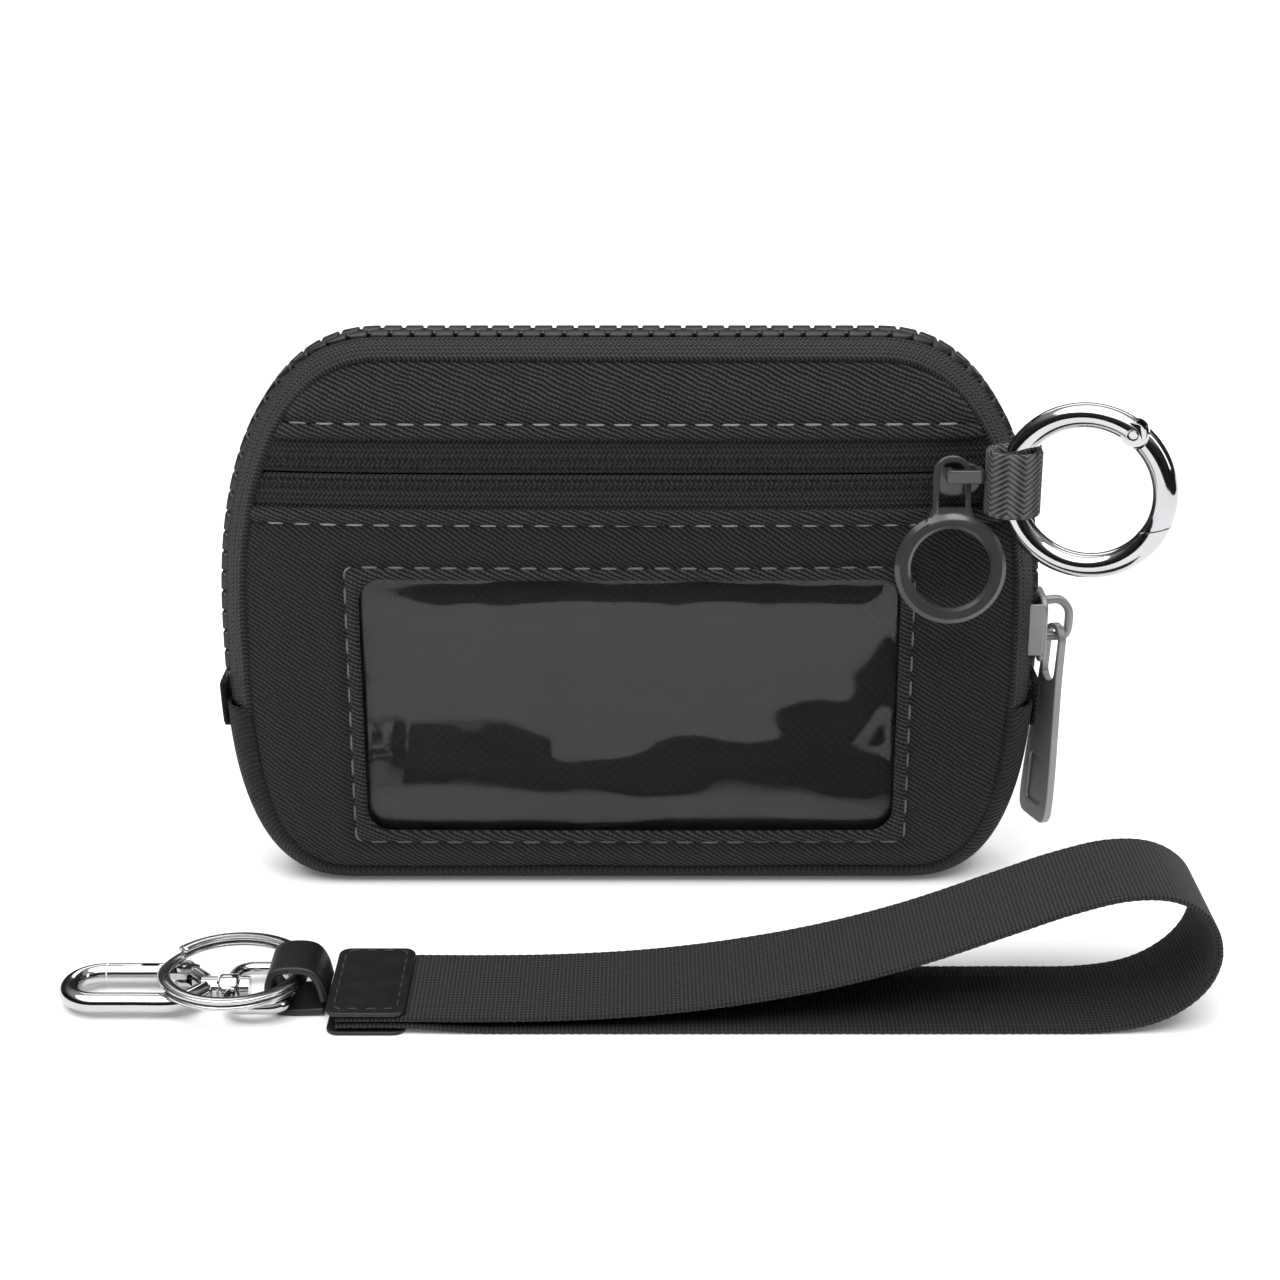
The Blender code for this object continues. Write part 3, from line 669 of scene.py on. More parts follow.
def window_distance(x, z):
    """Signed distance to the stitched window rectangle, positive outside."""
    dx = abs(x) - WINDOW_HALF
    dz = abs(z - (WINDOW_LOW_Z + WINDOW_HIGH_Z) / 2) - (WINDOW_HIGH_Z - WINDOW_LOW_Z) / 2
    outside = math.hypot(max(dx, 0), max(dz, 0))
    return outside + min(max(dx, dz), 0.0)


def dip(distance, depth, width):
    return depth * math.exp(-(distance / width) ** 2)


def ripple(x, z, seed=0.0):
    """Soft unevenness of the cloth in millimetres."""
    return (0.30 * rumple(x * 0.045 + seed, z * 0.07, seed)
            + 0.09 * rumple(x * 0.16 + seed, z * 0.22, 5.0 + seed))


def front_height(x, z):
    """Distance of the finished front cloth from the middle plane."""
    edge = seam_distance(x, z)
    y = crown(x, z) + 0.12 + ripple(x, z)
    y -= 0.85 * math.exp(-edge / 0.9) + dip(edge - 2.2, 0.12, 0.7)
    if z < LOWER_STITCH_Z + 1:
        y -= dip(z - LOWER_STITCH_Z, 0.45, 0.75)
        y -= dip(window_distance(x, z), 0.40, 0.8)
        y += dip(window_distance(x, z) - 2.4, 0.20, 1.6)
    else:
        y -= dip(z - UPPER_STITCH_Z, 0.45, 0.75)
        y += dip(z - UPPER_STITCH_Z - 3.2, 0.25, 2.0)
    return y


def back_height(x, z):
    edge = seam_distance(x, z)
    y = crown(x, z) + 0.1 + ripple(x, z, 9.0)
    return y - 0.85 * math.exp(-edge / 0.9)


def panel(name, low, high, height, side, look, body, nodes, columns, rows, hole=None):
    """A panel inside the seam outline, with turned-in edges."""
    points = []
    for j in range(rows + 1):
        t = j / rows
        if low < 3.5:
            t = t ** 1.35
        if high > 85:
            t = 1 - (1 - t) ** 1.35
        z = low + (high - low) * t
        half = seam_x(z)
        row = []
        for i in range(columns + 1):
            x = half * math.sin(math.pi * (i / columns - 0.5)) * 0.35
            x += half * (2 * i / columns - 1) * 0.65
            row.append((x, side * height(x, z), z))
        points.append(row)
    mesh = flat_grid(points, flip=side > 0)
    if hole:
        inside = [f for f in mesh.faces if hole(f.calc_center_median())]
        bmesh.ops.delete(mesh, geom=inside, context="FACES")
    rim = [e for e in mesh.edges if e.is_boundary]
    turned = bmesh.ops.extrude_edge_only(mesh, edges=rim)
    for vertex in [g for g in turned["geom"] if isinstance(g, bmesh.types.BMVert)]:
        vertex.co.y -= side * 0.9
    return piece(name, mesh, look, body, nodes)


def window_hole(centre):
    return window_distance(centre.x, centre.z) < -0.9


panel("front_panel_body", 2.7, LOWER_STITCH_Z + 0.2, front_height, -1, TWILL_LOW, "pouch",
      ["front_panel_lower"], 150, 84, hole=window_hole)
panel("front_panel_top", UPPER_STITCH_Z - 0.2, 86.95, front_height, -1, TWILL, "pouch",
      ["front_panel_upper"], 130, 30)


def over_hinge(made):
    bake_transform(made)
    return made


over_hinge(panel("back_panel", 2.7, 86.95, back_height, 1, TWILL_LOW, None,
                 ["back_panel_lower", "back_panel_upper"], 100, 84))


def lining(name, y, nodes, body):
    rows = []
    for j in range(33):
        z = 5.0 + 80.0 * j / 32
        half = seam_x(z) - 2.2
        rows.append([(half * (2 * i / 40 - 1), y, z) for i in range(41)])
    return thicken(piece(name, flat_grid(rows), LINING, body, nodes), 0.5)


lining("front_lining_cloth", -4.25, ["front_lining"], "pouch")
over_hinge(lining("back_lining_cloth", 6.75, ["back_lining_lower", "back_lining_upper"], None))


# ---- welts and pocket zip

def welt(name, stitch_z, lip_z, node):
    """A rolled fold of cloth from its stitch line over the lip and back inside."""
    toward = 1.0 if lip_z > stitch_z else -1.0
    width = abs(lip_z - stitch_z)
    profile = [(0.0, 0.0), (0.12, 0.16), (0.3, 0.42), (0.5, 0.56), (0.7, 0.58), (0.86, 0.46),
               (0.96, 0.2), (1.0, -0.15), (0.97, -0.6), (0.9, -1.0), (0.7, -1.25)]
    rows = []
    count = 150
    for across, out in profile:
        row = []
        for i in range(count + 1):
            z = stitch_z + toward * width * across
            z += toward * 0.10 * rumple(i * 0.14, stitch_z, 2.0) * across
            half = seam_x(z) - 0.1
            x = half * (2 * i / count - 1)
            fall = 0.6 * math.exp(-(half - abs(x)) / 0.9)
            wave = 0.07 * rumple(x * 0.3, stitch_z, 1.0)
            row.append((x, -(crown(x, stitch_z) - 0.2 + out + wave - fall), z))
        rows.append(row)
    span = [0.0]
    for a, b in zip(profile, profile[1:]):
        span.append(span[-1] + math.hypot((b[0] - a[0]) * width, b[1] - a[1]))
    mesh = grid(rows, lambda a, b: (rows[a][b][0], toward * span[a] + stitch_z), flip=toward < 0)
    return piece(name, mesh, TWILL, "pouch", [node])


welt("welt_upper", UPPER_STITCH_Z, UPPER_LIP_Z, "pocket_welt_upper")
welt("welt_lower", LOWER_STITCH_Z, LOWER_LIP_Z, "pocket_welt_lower")


def pocket_tape(name, low, high, node):
    """Half of the pocket zip's tape, dipping to the coil behind its inner edge."""
    inner = low if abs(low - POCKET_ZIP_Z) < abs(high - POCKET_ZIP_Z) else high
    rows = []
    for j in range(15):
        z = low + (high - low) * j / 14
        near = math.exp(-abs(z - inner) / 0.45)
        ridge = dip(abs(z - inner) - 1.3, 0.16, 0.5)
        row = []
        for i in range(121):
            half = seam_x(z) - 0.3
            x = half * (2 * i / 120 - 1)
            row.append((x, -(crown(x, z) - 1.0 - 0.55 * near + ridge), z))
        rows.append(row)
    return piece(name, flat_grid(rows), POCKET_TAPE, "pouch", [node])


pocket_tape("pocket_tape_high", POCKET_ZIP_Z + 0.13, UPPER_LIP_Z + 0.6, "pocket_tape_upper")
pocket_tape("pocket_tape_low", LOWER_LIP_Z - 0.6, POCKET_ZIP_Z - 0.13, "pocket_tape_lower")


def coil_row(name, z, node, shift):
    """Loops of the pocket zip's coil, seen through the slit between its tapes."""
    mesh = bmesh.new()
    for k in range(76):
        x = -49.4 + 1.3 * k + shift
        y = -(crown(x, z) - 2.35)
        loop = []
        for i in range(10):
            turn = 2 * math.pi * i / 10
            loop.append((x + 0.16 * math.sin(turn), y + 0.42 * math.cos(turn),
                         z + 0.72 * math.sin(turn)))
        sweep(loop, circle(0.24, 6), (1, 0, 0), closed=True, mesh=mesh)
    return piece(name, mesh, COIL, "pouch", [node])


coil_row("coil_upper", POCKET_ZIP_Z + 0.72, "pocket_coil_upper", 0.0)
coil_row("coil_lower", POCKET_ZIP_Z - 0.72, "pocket_coil_lower", 0.65)


# ---- card window

def window_lip():
    """The folded edge: low at the stitch line, rolled over at the opening."""
    profile = [(0.0, -0.35), (0.25, -0.05), (0.6, 0.16), (1.0, 0.24), (1.4, 0.22), (1.75, 0.08),
               (1.98, -0.25), (2.0, -0.6), (1.8, -0.95)]
    rows = []
    for inset, out in profile:
        outline = rounded(-WINDOW_HALF + inset, WINDOW_HALF - inset, WINDOW_LOW_Z + inset,
                          WINDOW_HIGH_Z - inset, 1.6 + inset * 1.1)
        row = []
        for a, b in zip(outline, outline[1:] + outline[:1]):
            steps = 60 if math.dist(a, b) > 60 else 34 if math.dist(a, b) > 10 else 1
            for j in range(steps):
                x = a[0] + (b[0] - a[0]) * j / steps
                z = a[1] + (b[1] - a[1]) * j / steps
                wave = 0.10 * rumple(x * 0.25, z * 0.25, 3.0)
                row.append((x, -(crown(x, z) + out + wave + 0.12), z))
        rows.append(row)
    count = len(rows[0])
    mesh = grid(rows, lambda a, b: (rows[a][b % count][0], rows[a][b % count][2]), closed_u=True)
    bmesh.ops.recalc_face_normals(mesh, faces=mesh.faces)
    return piece("window_edge", mesh, TWILL, "pouch", ["window_lip"])


window_lip()


def crowned_sheet(name, depth, look, node, waves):
    """A thin sheet that follows the panel's crown, sunk near its edge by its waves."""
    rows = []
    for j in range(61):
        z = 6.4 + 50.4 * j / 60
        row = []
        for i in range(101):
            x = 47.0 * (2 * i / 100 - 1)
            lift = waves * rumple(x * 0.05, z * 0.06, 7.0)
            lift += waves * 0.35 * rumple(x * 0.13, z * 0.16, 2.0)
            edge = max(-window_distance(x, z) - LIP_WIDTH, 0.0)
            lift -= 1.7 * waves * math.exp(-(edge / 3.2) ** 2)
            row.append((x, -(crown(x, z) - depth + lift), z))
        rows.append(row)
    return thicken(piece(name, flat_grid(rows), look, "pouch", [node]), 0.3)


crowned_sheet("window_sheet", 1.15, VINYL, "id_window", 0.32)
crowned_sheet("window_back_cloth", 2.3, BACKING, "window_backing", 0.0)


# ---- edge bands and teeth

def stations(start, end, spacing):
    count = max(2, round(abs(end - start) / spacing))
    return [start + (end - start) * i / count for i in range(count + 1)]


ZIP_END = length_at(ZIP_END_Z)


def band(name, side, nodes, body):
    """The zip tape from the panel seam up to the teeth, with a rolled seam and a cord."""
    marks = stations(-ZIP_END, ZIP_END, 1.1)
    shape = [(1.12, 7.4), (1.04, 7.85), (0.93, 7.95), (0.80, 7.45), (0.66, 6.7), (0.53, 5.95),
             (0.42, 5.2), (0.33, 4.5), (0.28, 3.9), (0.20, 3.55), (0.20, 3.1), (0.36, 2.8)]
    rows = []
    for part, y in shape:
        row = []
        for s in marks:
            inset = part * seam_depth(crest(s)[2]) + 0.05 * rumple(s * 0.2, y, side)
            row.append(inset_point(s, inset, side * y))
        rows.append(row)
    mesh = grid(rows, lambda a, b: (marks[b], shape[a][1] + 0.4 * shape[a][0]), flip=side > 0)
    bmesh.ops.recalc_face_normals(mesh, faces=mesh.faces)
    return thicken(piece(name, mesh, TAPE, body, nodes), 0.4, -1.0)


band("zip_tape_front", -1, ["front_zip_tape"], "pouch")
over_hinge(band("zip_tape_back", 1, ["back_tape_left", "back_tape_right", "back_tape_top"], None))


def gusset():
    marks = stations(ZIP_END - 0.4, 2 * HALF_LENGTH - ZIP_END + 0.4, 1.3)
    shape = [(1.12, 7.3), (1.04, 7.8), (0.92, 7.95), (0.68, 7.5), (0.44, 6.8), (0.22, 5.9),
             (0.08, 4.9), (0.0, 3.8), (0.0, 1.5)]
    shape = shape + [(part, -y) for part, y in reversed(shape)]
    rows = []
    for part, y in shape:
        row = []
        for mark in marks:
            s = mark if mark <= HALF_LENGTH else mark - 2 * HALF_LENGTH
            row.append(inset_point(s, part * seam_depth(crest(s)[2]), y))
        rows.append(row)
    mesh = grid(rows, lambda a, b: (marks[b], shape[a][1]))
    bmesh.ops.recalc_face_normals(mesh, faces=mesh.faces)
    thicken(piece("gusset_cloth", mesh, GUSSET, "pouch", ["gusset_bottom"]), 0.5, -1.0)


gusset()


def tooth_block(mesh, s, length, y0, y1, top):
    """One moulded tooth: a rounded block across its row."""
    steps = [(-0.5, 0.16), (-0.46, 0.03), (-0.40, 0.0), (0.40, 0.0), (0.46, 0.03), (0.5, 0.16)]
    cross = [(0.0, 0.22), (0.06, 0.05), (0.14, 0.0), (0.86, 0.0), (0.94, 0.05), (1.0, 0.22)]

    def corner(t, c, inset):
        return mesh.verts.new(inset_point(s + t * length, inset, y0 + (y1 - y0) * c))

    top_rows = [[corner(t, c, top + drop + fall) for c, fall in cross] for t, drop in steps]
    base = [corner(t, c, 2.3) for t, c in ((-0.5, 0), (-0.5, 1), (0.5, 1), (0.5, 0))]
    for here, there in zip(top_rows, top_rows[1:]):
        for b in range(len(cross) - 1):
            mesh.faces.new((here[b], here[b + 1], there[b + 1], there[b]))
    sides = [top_rows[0], [row[-1] for row in top_rows], top_rows[-1][::-1],
             [row[0] for row in top_rows][::-1]]
    for i, side in enumerate(sides):
        mesh.faces.new([base[i], *side, base[(i + 1) % 4]])
    mesh.faces.new(base[::-1])


def teeth(name, side, nodes, body, phase):
    mesh = bmesh.new()
    count = int(2 * (ZIP_END - 2.0) / TOOTH_PITCH)
    start = -TOOTH_PITCH * (count - 1) / 2 + phase * TOOTH_PITCH
    for k in range(count - 1):
        tooth_block(mesh, start + k * TOOTH_PITCH, 2.72, side * 3.0, side * 0.1, 0.0)
        tooth_block(mesh, start + k * TOOTH_PITCH, 1.7, side * 0.4, side * -0.9, 0.3)
    bmesh.ops.recalc_face_normals(mesh, faces=mesh.faces)
    return piece(name, mesh, TEETH, body, nodes)


teeth("teeth_front", -1, ["front_zip_teeth"], "pouch", 0.0)
over_hinge(teeth("teeth_back", 1, ["back_teeth_left", "back_teeth_right", "back_teeth_top"],
                 None, 0.5))

for label, sign in (("left", -1), ("right", 1)):
    path = [Vector(inset_point(sign * s, -0.62, 0.0))
            for s in stations(length_at(34.2), length_at(26.9), 0.35)]
    tuck = Vector((-sign * 0.9, 0, 0))
    path = [path[0] + tuck, *path, path[-1] + tuck]
    piece("end_tab_" + label, sweep(path, flat_section(0.7, 8.4, 0.5, 8), (0, 1, 0)), GUSSET,
          "pouch", ["zip_end_tab_" + label])


# ---- stitches

def stitches(name, path, out, look, body, pitch=4.1, length=3.2, width=0.19, phase=0.0):
    """A row of thread dashes along a path, on a surface that faces out."""
    mesh = bmesh.new()
    points = even_path(path, 0.1)
    step = round(pitch / 0.1)
    span = round(length / 0.1)
    for start in range(int(phase * step), len(points) - span, step):
        spine = []
        for k in range(7):
            t = k / 6
            lift = width * 0.62 - 0.28 * abs(2 * t - 1) ** 3
            spine.append(points[start + int(span * t)] + out * lift)
        sweep(spine, circle(width, 8), out, mesh=mesh,
              scale=lambda i: (max(0.35, 1 - abs(i / 3 - 1) ** 4 * 0.65),) * 2)
    return piece(name, mesh, look, body)


FRONT = Vector((0, -1, 0))


def on_front(points):
    return [Vector((x, -front_height(x, z), z)) for x, z in points]


for label, z, phase in (("upper", UPPER_STITCH_Z, 0.0), ("lower", LOWER_STITCH_Z, 0.4)):
    line = on_front([((seam_x(z) - 1.2) * (2 * i / 240 - 1), z) for i in range(241)])
    stitches("stitches_" + label + "_welt", line, FRONT, THREAD, "pouch", phase=phase)

corners = rounded(-WINDOW_HALF, WINDOW_HALF, WINDOW_LOW_Z, WINDOW_HIGH_Z, 1.2)
window_line = even_path([(x, z, 0) for x, z in corners + corners[:1]], 0.4)[:-1]
window_line = on_front([(point.x, point.y) for point in window_line])
stitches("stitches_window", window_line + window_line[:1], FRONT, THREAD_DARK, "pouch", phase=0.3)


# ---- main slider and pull

def plate(name, outline, low, high, plane, look, body, nodes=(), bevel=0.35):
    made = piece(name, prism(outline, low, high, plane), look, body, nodes)
    return finish_edges(made, bevel)


plate("slider_plate", rounded(-4.4, 4.4, 36.8, 47.6, 2.0), 64.72, 65.9, "YZ", SATIN,
      "main_slider", ["main_slider_body"])
wing = [(x, z) for z, x in rounded(38.5, 47.0, 62.6, 65.3, 0.6)]
for label, sign in (("front", -1), ("back", 1)):
    plate("slider_flange_" + label, wing, sign * 4.75, sign * 3.95, "XZ", SATIN, "main_slider",
          bevel=0.25)
arch_path = smooth_path([(66.0, 46.2), (68.2, 46.3), (69.7, 44.8), (69.9, 42.4), (69.5, 40.6),
                         (68.2, 40.2), (65.9, 40.2)], 8)
piece("slider_bridge",
      sweep([(x, 0, z) for x, z in arch_path], flat_section(1.3, 1.45, 0.4), (0, 1, 0)),
      SATIN, "main_slider", ["main_slider_bridge"])


def pull_outline():
    side = smooth_path([(-2.6, -0.5), (-2.75, -6.0), (-3.2, -12.0), (-4.1, -22.0),
                        (-4.3, -28.6), (-3.6, -30.8), (-2.4, -31.3)], 5)[1:]
    return arc(2.6, 0.0, -0.5) + side + [(-y, z) for y, z in reversed(side)]


MAIN_PIVOT = Vector((67.95, 0.0, 40.2))
side_pull = piece("side_pull_plate", prism(pull_outline(), -0.65, 0.65, "YZ"), SATIN, "side_pull",
                  ["main_pull"])
eye = arc(1.85, 0.0, -0.6, 12)
cut(side_pull, prism(eye + [(-y, -6.2 - z) for y, z in eye], -3, 3, "YZ"),
    prism(rounded(-2.5, 2.5, -28.6, -20.6, 0.9), -3, -0.25, "YZ"))
side_pull.data.transform(Matrix.Rotation(math.radians(20), 4, "Z")
                         @ Matrix.Rotation(math.radians(3.5), 4, "Y"))
side_pull.data.transform(Matrix.Translation(MAIN_PIVOT * MM))
finish_edges(side_pull, 0.28)


# ---- pocket slider and pull

# Seen from the front: shoulders at one end, narrower tail at the other.
slider_outline = smooth_path([(46.6, 69.5), (46.9, 71.6), (48.4, 72.3), (50.6, 72.1),
                              (52.7, 71.3), (53.4, 69.5), (52.7, 67.7), (50.6, 66.9),
                              (48.4, 66.7), (46.9, 67.4), (46.6, 69.5)], 5)[:-1]
plate("pocket_slider_plate", slider_outline, -11.4, -10.0, "XZ", GLOSS, "pocket_slider",
      ["pocket_slider_body"], 0.4)
bridge_outline = [(47.6, -11.2), (47.6, -14.0), (48.2, -14.5), (52.7, -14.5), (53.3, -14.0),
                  (53.3, -11.2), (52.2, -11.2), (52.2, -13.4), (48.7, -13.4), (48.7, -11.2)]
plate("pocket_slider_arch", bridge_outline, 69.5, 71.6, "XY", GLOSS, "pocket_slider",
      ["pocket_slider_bridge"], 0.3)

POCKET_PIVOT = Vector((48.6, -12.55, 70.6))
RING_DROP = 14.3
PULL_BAND = [(1.2, -0.5), (1.2, 0.5), (0.7, 1.1), (-0.5, 1.1), (-1.2, 0.35), (-1.2, -0.35),
             (-0.5, -1.1), (0.7, -1.1)]
turns = [2 * math.pi * i / 72 for i in range(72)]
band_line = [(7.25 * math.cos(a), 0, -RING_DROP + 7.25 * math.sin(a)) for a in turns]
pull = piece("ring_pull", sweep(band_line, PULL_BAND, (0, 1, 0), closed=True), GLOSS,
             "front_pull", ["pocket_pull"])
stem = arc(2.9) + [(-2.9, -4.6), (-3.3, -6.2), (-4.3, -7.9), (4.3, -7.9), (3.3, -6.2),
                   (2.9, -4.6)]
add(pull, finish_edges(loose("stem", prism(stem, -0.6, 0.6), GLOSS), 0.3))
cut(pull, prism(arc(2.0, steps=12) + [(-2.0, -5.0), (2.0, -5.0)], -3, 3))
pull.data.transform(Matrix.Rotation(math.radians(-10), 4, "X"))
pull.data.transform(Matrix.Translation(POCKET_PIVOT * MM))
sharpen(pull)


# ---- side tab and ring

tab_path = smooth_path([(62.3, -9.7), (57.4, -9.5), (54.5, -11.0), (54.3, -13.9), (56.2, -15.8),
                        (59.4, -15.8), (61.3, -14.0), (61.6, -11.2)], 8)
tab_points = even_path([(x, y, 69.5) for x, y in tab_path], 0.25)
piece("ring_tab_webbing", sweep(tab_points, flat_section(1.1, 10.2, 0.5, 14), (0, 0, 1)), TAB,
      "tab", ["ring_tab"])

RING_RADIUS = 11.6
RING_WIRE = 1.9
RING_TURN = math.radians(-21.0)
RING_ACROSS = Vector((math.cos(RING_TURN), math.sin(RING_TURN), 0))
RING_NORMAL = Vector((math.sin(RING_TURN), -math.cos(RING_TURN), 0))
RING_CENTRE = Vector((57.4, -12.6, 69.2)) + RING_ACROSS * RING_RADIUS
PIN_ANGLE = 56.0
SEAM_ANGLE = -24.0


UP = Vector((0, 0, 1))
KNUCKLE_HALF = 0.5
BORE_RADIUS = 0.9


def ring_directions(angle):
    """Outward and backward along the ring at an angle."""
    across = math.cos(math.radians(angle))
    rise = math.sin(math.radians(angle))
    return RING_ACROSS * across + UP * rise, RING_ACROSS * rise - UP * across


def on_ring(angle):
    return RING_CENTRE + ring_directions(angle)[0] * RING_RADIUS


def ring_arc(name, start, end, steps, body, node):
    path = [on_ring(start + (end - start) * i / steps) for i in range(steps + 1)]
    return piece(name, sweep(path, circle(RING_WIRE, 32), RING_NORMAL), CHROME, body,
                 [node])


def ring_solid(origin, first, second, outline, half):
    """A solid square to the ring's plane, from an outline in two directions."""
    return solid(*[[origin + RING_NORMAL * out + first * a + second * b for a, b in outline]
                   for out in (-half, half)])


def ring_plug(radius, half):
    return ring_solid(on_ring(PIN_ANGLE), RING_ACROSS, UP, circle(radius, 32), half)


def ring_block(length, width, half):
    radial, along = ring_directions(PIN_ANGLE)
    return ring_solid(on_ring(PIN_ANGLE), along, radial, box(0, length, -width, width), half)


def seam_block(side):
    """A block on one side of the seam, whose plane is square to the line from the pin."""
    tip = on_ring(SEAM_ANGLE)
    chord = (tip - on_ring(PIN_ANGLE)).normalized()
    return ring_solid(tip, chord, RING_NORMAL.cross(chord),
                      box(-side * 0.12, side * 9, -5, 5), 3)


ring = ring_arc("side_ring", PIN_ANGLE, SEAM_ANGLE + 372, 100, "o_ring", "o_ring_body")
cut(ring, seam_block(-1))
add(ring, ring_plug(1.85, 1.55))
cut(ring, ring_plug(1.95, 0.85), ring_block(4.0, 3.0, 0.85), ring_plug(BORE_RADIUS, 3))
sharpen(ring)
finish_edges(piece("ring_pin", ring_plug(0.75, 1.62), CHROME, "o_ring",
                   ["o_ring_pin"]), 0.2)
gate = ring_arc("side_ring_gate", PIN_ANGLE, SEAM_ANGLE - 12, 40, "o_gate", "o_ring_gate")
cut(gate, ring_plug(2.3, 3), seam_block(1))
add(gate, ring_plug(1.5, KNUCKLE_HALF), ring_block(3.2, 1.2, KNUCKLE_HALF))
cut(gate, ring_plug(BORE_RADIUS, 3))
sharpen(gate)


# ---- wrist strap

strap_points = [(-42.0, 1.25), (-32.0, 1.25), (-22.0, 0.5), (-10.0, 0.42), (20.0, 0.42),
                (55.0, 0.42), (68.0, 0.6), (76.0, 2.4), (81.6, 6.6), (83.8, 12.0),
                (82.2, 17.6), (77.4, 21.0), (70.6, 21.4), (62.5, 19.3), (54.0, 16.1),
                (41.3, 11.3), (28.5, 7.6), (15.6, 5.0), (2.6, 3.3), (-10.0, 2.5),
                (-22.0, 2.3), (-32.0, 2.35), (-42.0, 2.35)]
STRAP_SPACING = 0.31
strap_line = even_path([(x, STRAP_CENTRE_Y, z) for x, z in smooth_path(strap_points, 8)],
                       STRAP_SPACING)


def strap_scale(i):
    """Scalloped woven edges."""
    return (1.0, 1.0 + 0.0065 * math.sin(i * STRAP_SPACING * 2 * math.pi / 1.24))


strap = piece("wrist_webbing", sweep(strap_line, flat_section(0.8, 19.8, 0.4, 22), (0, 1, 0),
                                     scale=strap_scale),
              WEB, "strap", ["strap_webbing"])

cap_outline = rounded(-43.5, -32.0, -57.3, -36.9, 1.8)
plate("cap_leather_low", cap_outline, 0.0, 0.6, "XY", LEATHER, "strap",
      ["end_cap_bottom"], 0.26)
plate("cap_leather_top", cap_outline, 2.95, 3.6, "XY", LEATHER, "strap",
      ["end_cap_top"], 0.26)
cap_seam = [Vector((x, y, 3.6)) for x, y in rounded(-42.3, -33.2, -56.1, -38.1, 1.2)]
stitches("stitches_cap", cap_seam + cap_seam[:1], UP, THREAD_BLACK, "strap", pitch=2.6,
         length=1.9, width=0.2)
loop_points = [(-44.3, 0.75), (-49.0, 0.55), (-51.5, 1.2), (-52.3, 4.0), (-51.4, 6.7),
               (-48.8, 7.35), (-46.2, 6.9), (-44.9, 5.0), (-44.3, 2.4)]
loop_line = even_path([(x, STRAP_CENTRE_Y, z) for x, z in smooth_path(loop_points, 8)], 0.3)
piece("strap_loop", sweep(loop_line, flat_section(1.1, 9.2, 0.35), (0, 1, 0)), LEATHER, "strap",
      ["leather_loop"])


CLIP_WIRE = 1.5
CLIP_HALF = 4.55
CLIP_LEFT = -82.1 + CLIP_HALF
CLIP_PIN_X = -66.0
CLIP_BORE = 0.8
FAR_Y = STRAP_CENTRE_Y + CLIP_HALF


def in_line(points):
    """Points at the height of the swivel, with y measured from the strap's middle."""
    return [(x, STRAP_CENTRE_Y + y, SWIVEL_Z) for x, y in points]


def rod(x0, x1, radius):
    return sweep(in_line([(x0, 0), (x1, 0)]), circle(radius, 28), UP)


def stud(radius, low, high):
    return sweep([(CLIP_PIN_X, FAR_Y, low), (CLIP_PIN_X, FAR_Y, high)], circle(radius, 28),
                 (1, 0, 0))


def wire(points):
    return sweep(points, circle(CLIP_WIRE, 28), UP)


def slab(outline, half):
    return prism(outline, SWIVEL_Z - half, SWIVEL_Z + half, "XY")


eye_path = in_line(rounded(-58.4, -49.6, -6.1, 6.1, 2.6, 10))
swivel = piece("swivel_loop", sweep(even_path(eye_path + eye_path[:1], 0.7)[:-1],
                                    circle(0.95, 20), UP, closed=True),
               CHROME, "swivel", ["swivel_eye"])
add(swivel, finish_edges(loose("boss", rod(-60.0, -57.2, 2.05), CHROME), 0.3))
cut(swivel, rod(-62.0, -55.0, 1.2))
sharpen(swivel)

clip_line = smooth_path(in_line([
    (-61.6, 0.0), (-62.6, -1.6), (-64.2, -3.6), (-66.6, -CLIP_HALF), (-72.0, -CLIP_HALF),
    (CLIP_LEFT, -CLIP_HALF)]), 6)
for step in range(1, 25):
    bend = math.radians(270 - 7.5 * step)
    clip_line += in_line([(CLIP_LEFT + CLIP_HALF * math.cos(bend), CLIP_HALF * math.sin(bend))])
clip = piece("clip_frame", wire(clip_line), CHROME, "clip", ["clip_body"])
arm_line = smooth_path(in_line([(-61.6, 0.2), (-62.8, 2.0), (-64.6, 3.9)]), 6)
shoulder = [(x, y) for x, y, _ in in_line([(-66.0, 3.1), (-63.6, 2.6), (-63.6, 4.4),
                                           (-66.0, 6.0)])]
add(clip, wire(arm_line), stud(1.5, SWIVEL_Z - 1.45, SWIVEL_Z + 1.45), slab(shoulder, 1.4),
    rod(-61.6, -56.8, 0.9), rod(-62.6, -60.3, 1.7), rod(-56.9, -55.6, 1.75))
cut(clip, slab(box(-70.0, -64.4, FAR_Y - 4.0, FAR_Y + 4.0), 0.85), stud(CLIP_BORE, -1, 6))
sharpen(clip)
finish_edges(piece("clip_gate_pin", stud(0.62, SWIVEL_Z - 1.5, SWIVEL_Z + 1.5), CHROME, "clip",
                   ["clip_pin"]), 0.15)
gate = piece("clip_thumb_gate", wire(in_line([(-68.0, CLIP_HALF), (CLIP_LEFT + 0.3, CLIP_HALF)])),
             CHROME, "thumb_gate", ["clip_gate"])
add(gate, slab(box(-68.6, CLIP_PIN_X, FAR_Y - 1.1, FAR_Y + 1.1), KNUCKLE_HALF),
    stud(1.15, SWIVEL_Z - KNUCKLE_HALF, SWIVEL_Z + KNUCKLE_HALF))
cut(gate, stud(CLIP_BORE, -1, 6),
    prism(rounded(-72.4, -69.6, FAR_Y - 0.45, FAR_Y + 0.45, 0.4), SWIVEL_Z + 1.0, SWIVEL_Z + 3,
          "XY"))
sharpen(gate)

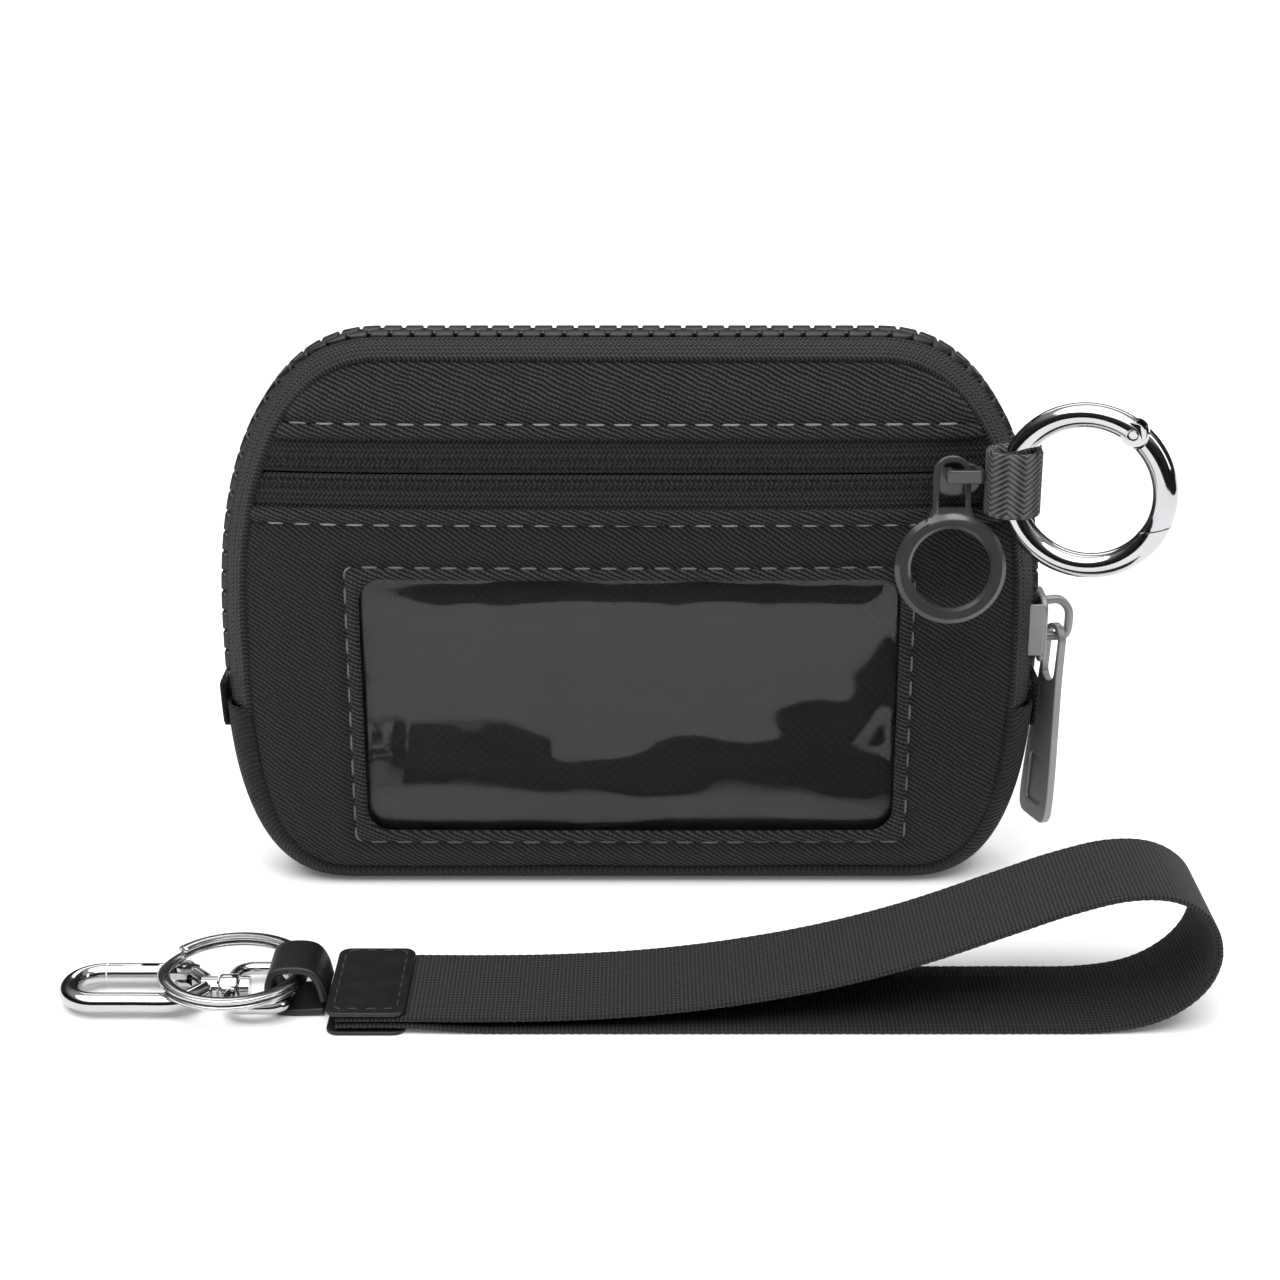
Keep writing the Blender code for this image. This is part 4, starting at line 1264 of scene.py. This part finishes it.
coil_path = []
for i in range(221):
    angle = 214.0 + 652.0 * i / 220
    rise = min(max((angle - 510.0) / 60.0, 0.0), 1.0)
    turn = math.radians(angle)
    coil_path.append((-57.9 + 10.15 * math.cos(turn), -46.9 + 10.15 * math.sin(turn),
                      4.5 + 0.98 * rise * rise * (3 - 2 * rise)))
piece("split_ring_wire", sweep(coil_path, flat_section(1.7, 0.82, 0.2, 3), UP), RING_METAL,
      "key_ring", ["split_ring"])

# CAD pieces that keep their shape.
for name, look in (("pocket_bag", BAG), ("main_slider_wedge", SATIN)):
    for held in bpy.data.objects[name].material_slots:
        held.material = look


# ---- floor, light and camera

def scenery(name, width, height, z, look):
    """A flat face in the scene that is no piece."""
    mesh = bmesh.new()
    mesh.faces.new([mesh.verts.new((x, y, z))
                    for x, y in box(-width / 2, width / 2, -height / 2, height / 2)])
    return loose(name, mesh, look.material)


white = Look("floor_white", (0.93, 0.93, 0.935), 0.9)
white.set("Specular IOR Level", 0.1)
white.set("Emission Color", (1.0, 1.0, 1.0, 1.0))
white.set("Emission Strength", 0.10)
scenery("studio_floor", 12000.0, 12000.0, -0.02, white)


def aimed(made, place, aim, axis):
    made.location = place
    direction = Vector(aim) - Vector(place)
    made.rotation_euler = direction.to_track_quat(axis, "Y").to_euler()


# Black cards out of sight give polished metal its dark reflections.
BLACK = Look("card_black", grey(0.004), 1.0)
for name, place, aim, width, height in (
        ("card_front", (0, -0.42, 0.06), (0, 0, 0.04), 900, 180),
        ("card_left", (-0.33, -0.12, 0.09), (0, -0.02, 0.04), 500, 120),
        ("card_right", (0.33, -0.16, 0.07), (0.06, -0.02, 0.06), 500, 110)):
    card = scenery(name, width, height, 0, BLACK)
    aimed(card, place, aim, "Z")
    card.visible_camera = False
    card.visible_diffuse = False
    card.visible_shadow = False

for name, place, aim_z, width, height, power in (
        ("key_top", (-0.25, -0.35, 0.75), 0.05, 0.6, 0.5, 1.6),
        ("fill_right", (0.8, -0.25, 0.5), 0.04, 0.2, 0.6, 1.0),
        ("front_soft", (0.25, -0.6, 0.9), 0.05, 0.35, 0.3, 1.4),
        ("rim_back", (0.1, 0.6, 0.6), 0.06, 0.9, 0.25, 1.5)):
    data = bpy.data.lights.new(name, "AREA")
    data.shape = "RECTANGLE"
    data.size = width
    data.size_y = height
    data.energy = power
    lamp = bpy.data.objects.new(name, data)
    aimed(lamp, place, (0, 0, aim_z), "-Z")
    bpy.context.scene.collection.objects.link(lamp)

sun_data = bpy.data.lights.new("sky_soft", "SUN")
sun_data.energy = 2.7
sun_data.angle = math.radians(75)
sun = bpy.data.objects.new("sky_soft", sun_data)
sun.rotation_euler = (math.radians(14), math.radians(-8), 0)
bpy.context.scene.collection.objects.link(sun)

world = bpy.data.worlds.new("studio_world")
bpy.context.scene.world = world
sky = Nodes(world, "Background")
height = sky.node("SeparateXYZ", sky.node("TexCoord").outputs["Generated"]).outputs["Z"]
ramp = sky.node("MapRange", height, 0.40, 0.80, 0.035, 0.48)
ramp.interpolation_type = "SMOOTHSTEP"
is_seen = sky.node("LightPath").outputs["Is Camera Ray"]
strength = sky.math("MAXIMUM", ramp.outputs["Result"], is_seen)
sky.join(strength, sky.shader.inputs["Strength"])
sky.set("Color", (0.97, 0.98, 1.0, 1.0))

camera_data = bpy.data.cameras.new("camera")
camera_data.lens = 67.5
camera_data.sensor_width = 36.0
camera = bpy.data.objects.new("camera", camera_data)
camera.location = (0.0016, -0.3606, 0.1707)
camera.rotation_euler = (math.radians(70.0), 0.0, 0.0)
camera_data.clip_start = 0.01
bpy.context.scene.collection.objects.link(camera)
bpy.context.scene.camera = camera
bpy.context.scene.view_settings.view_transform = "Standard"

bpy.context.view_layer.update()
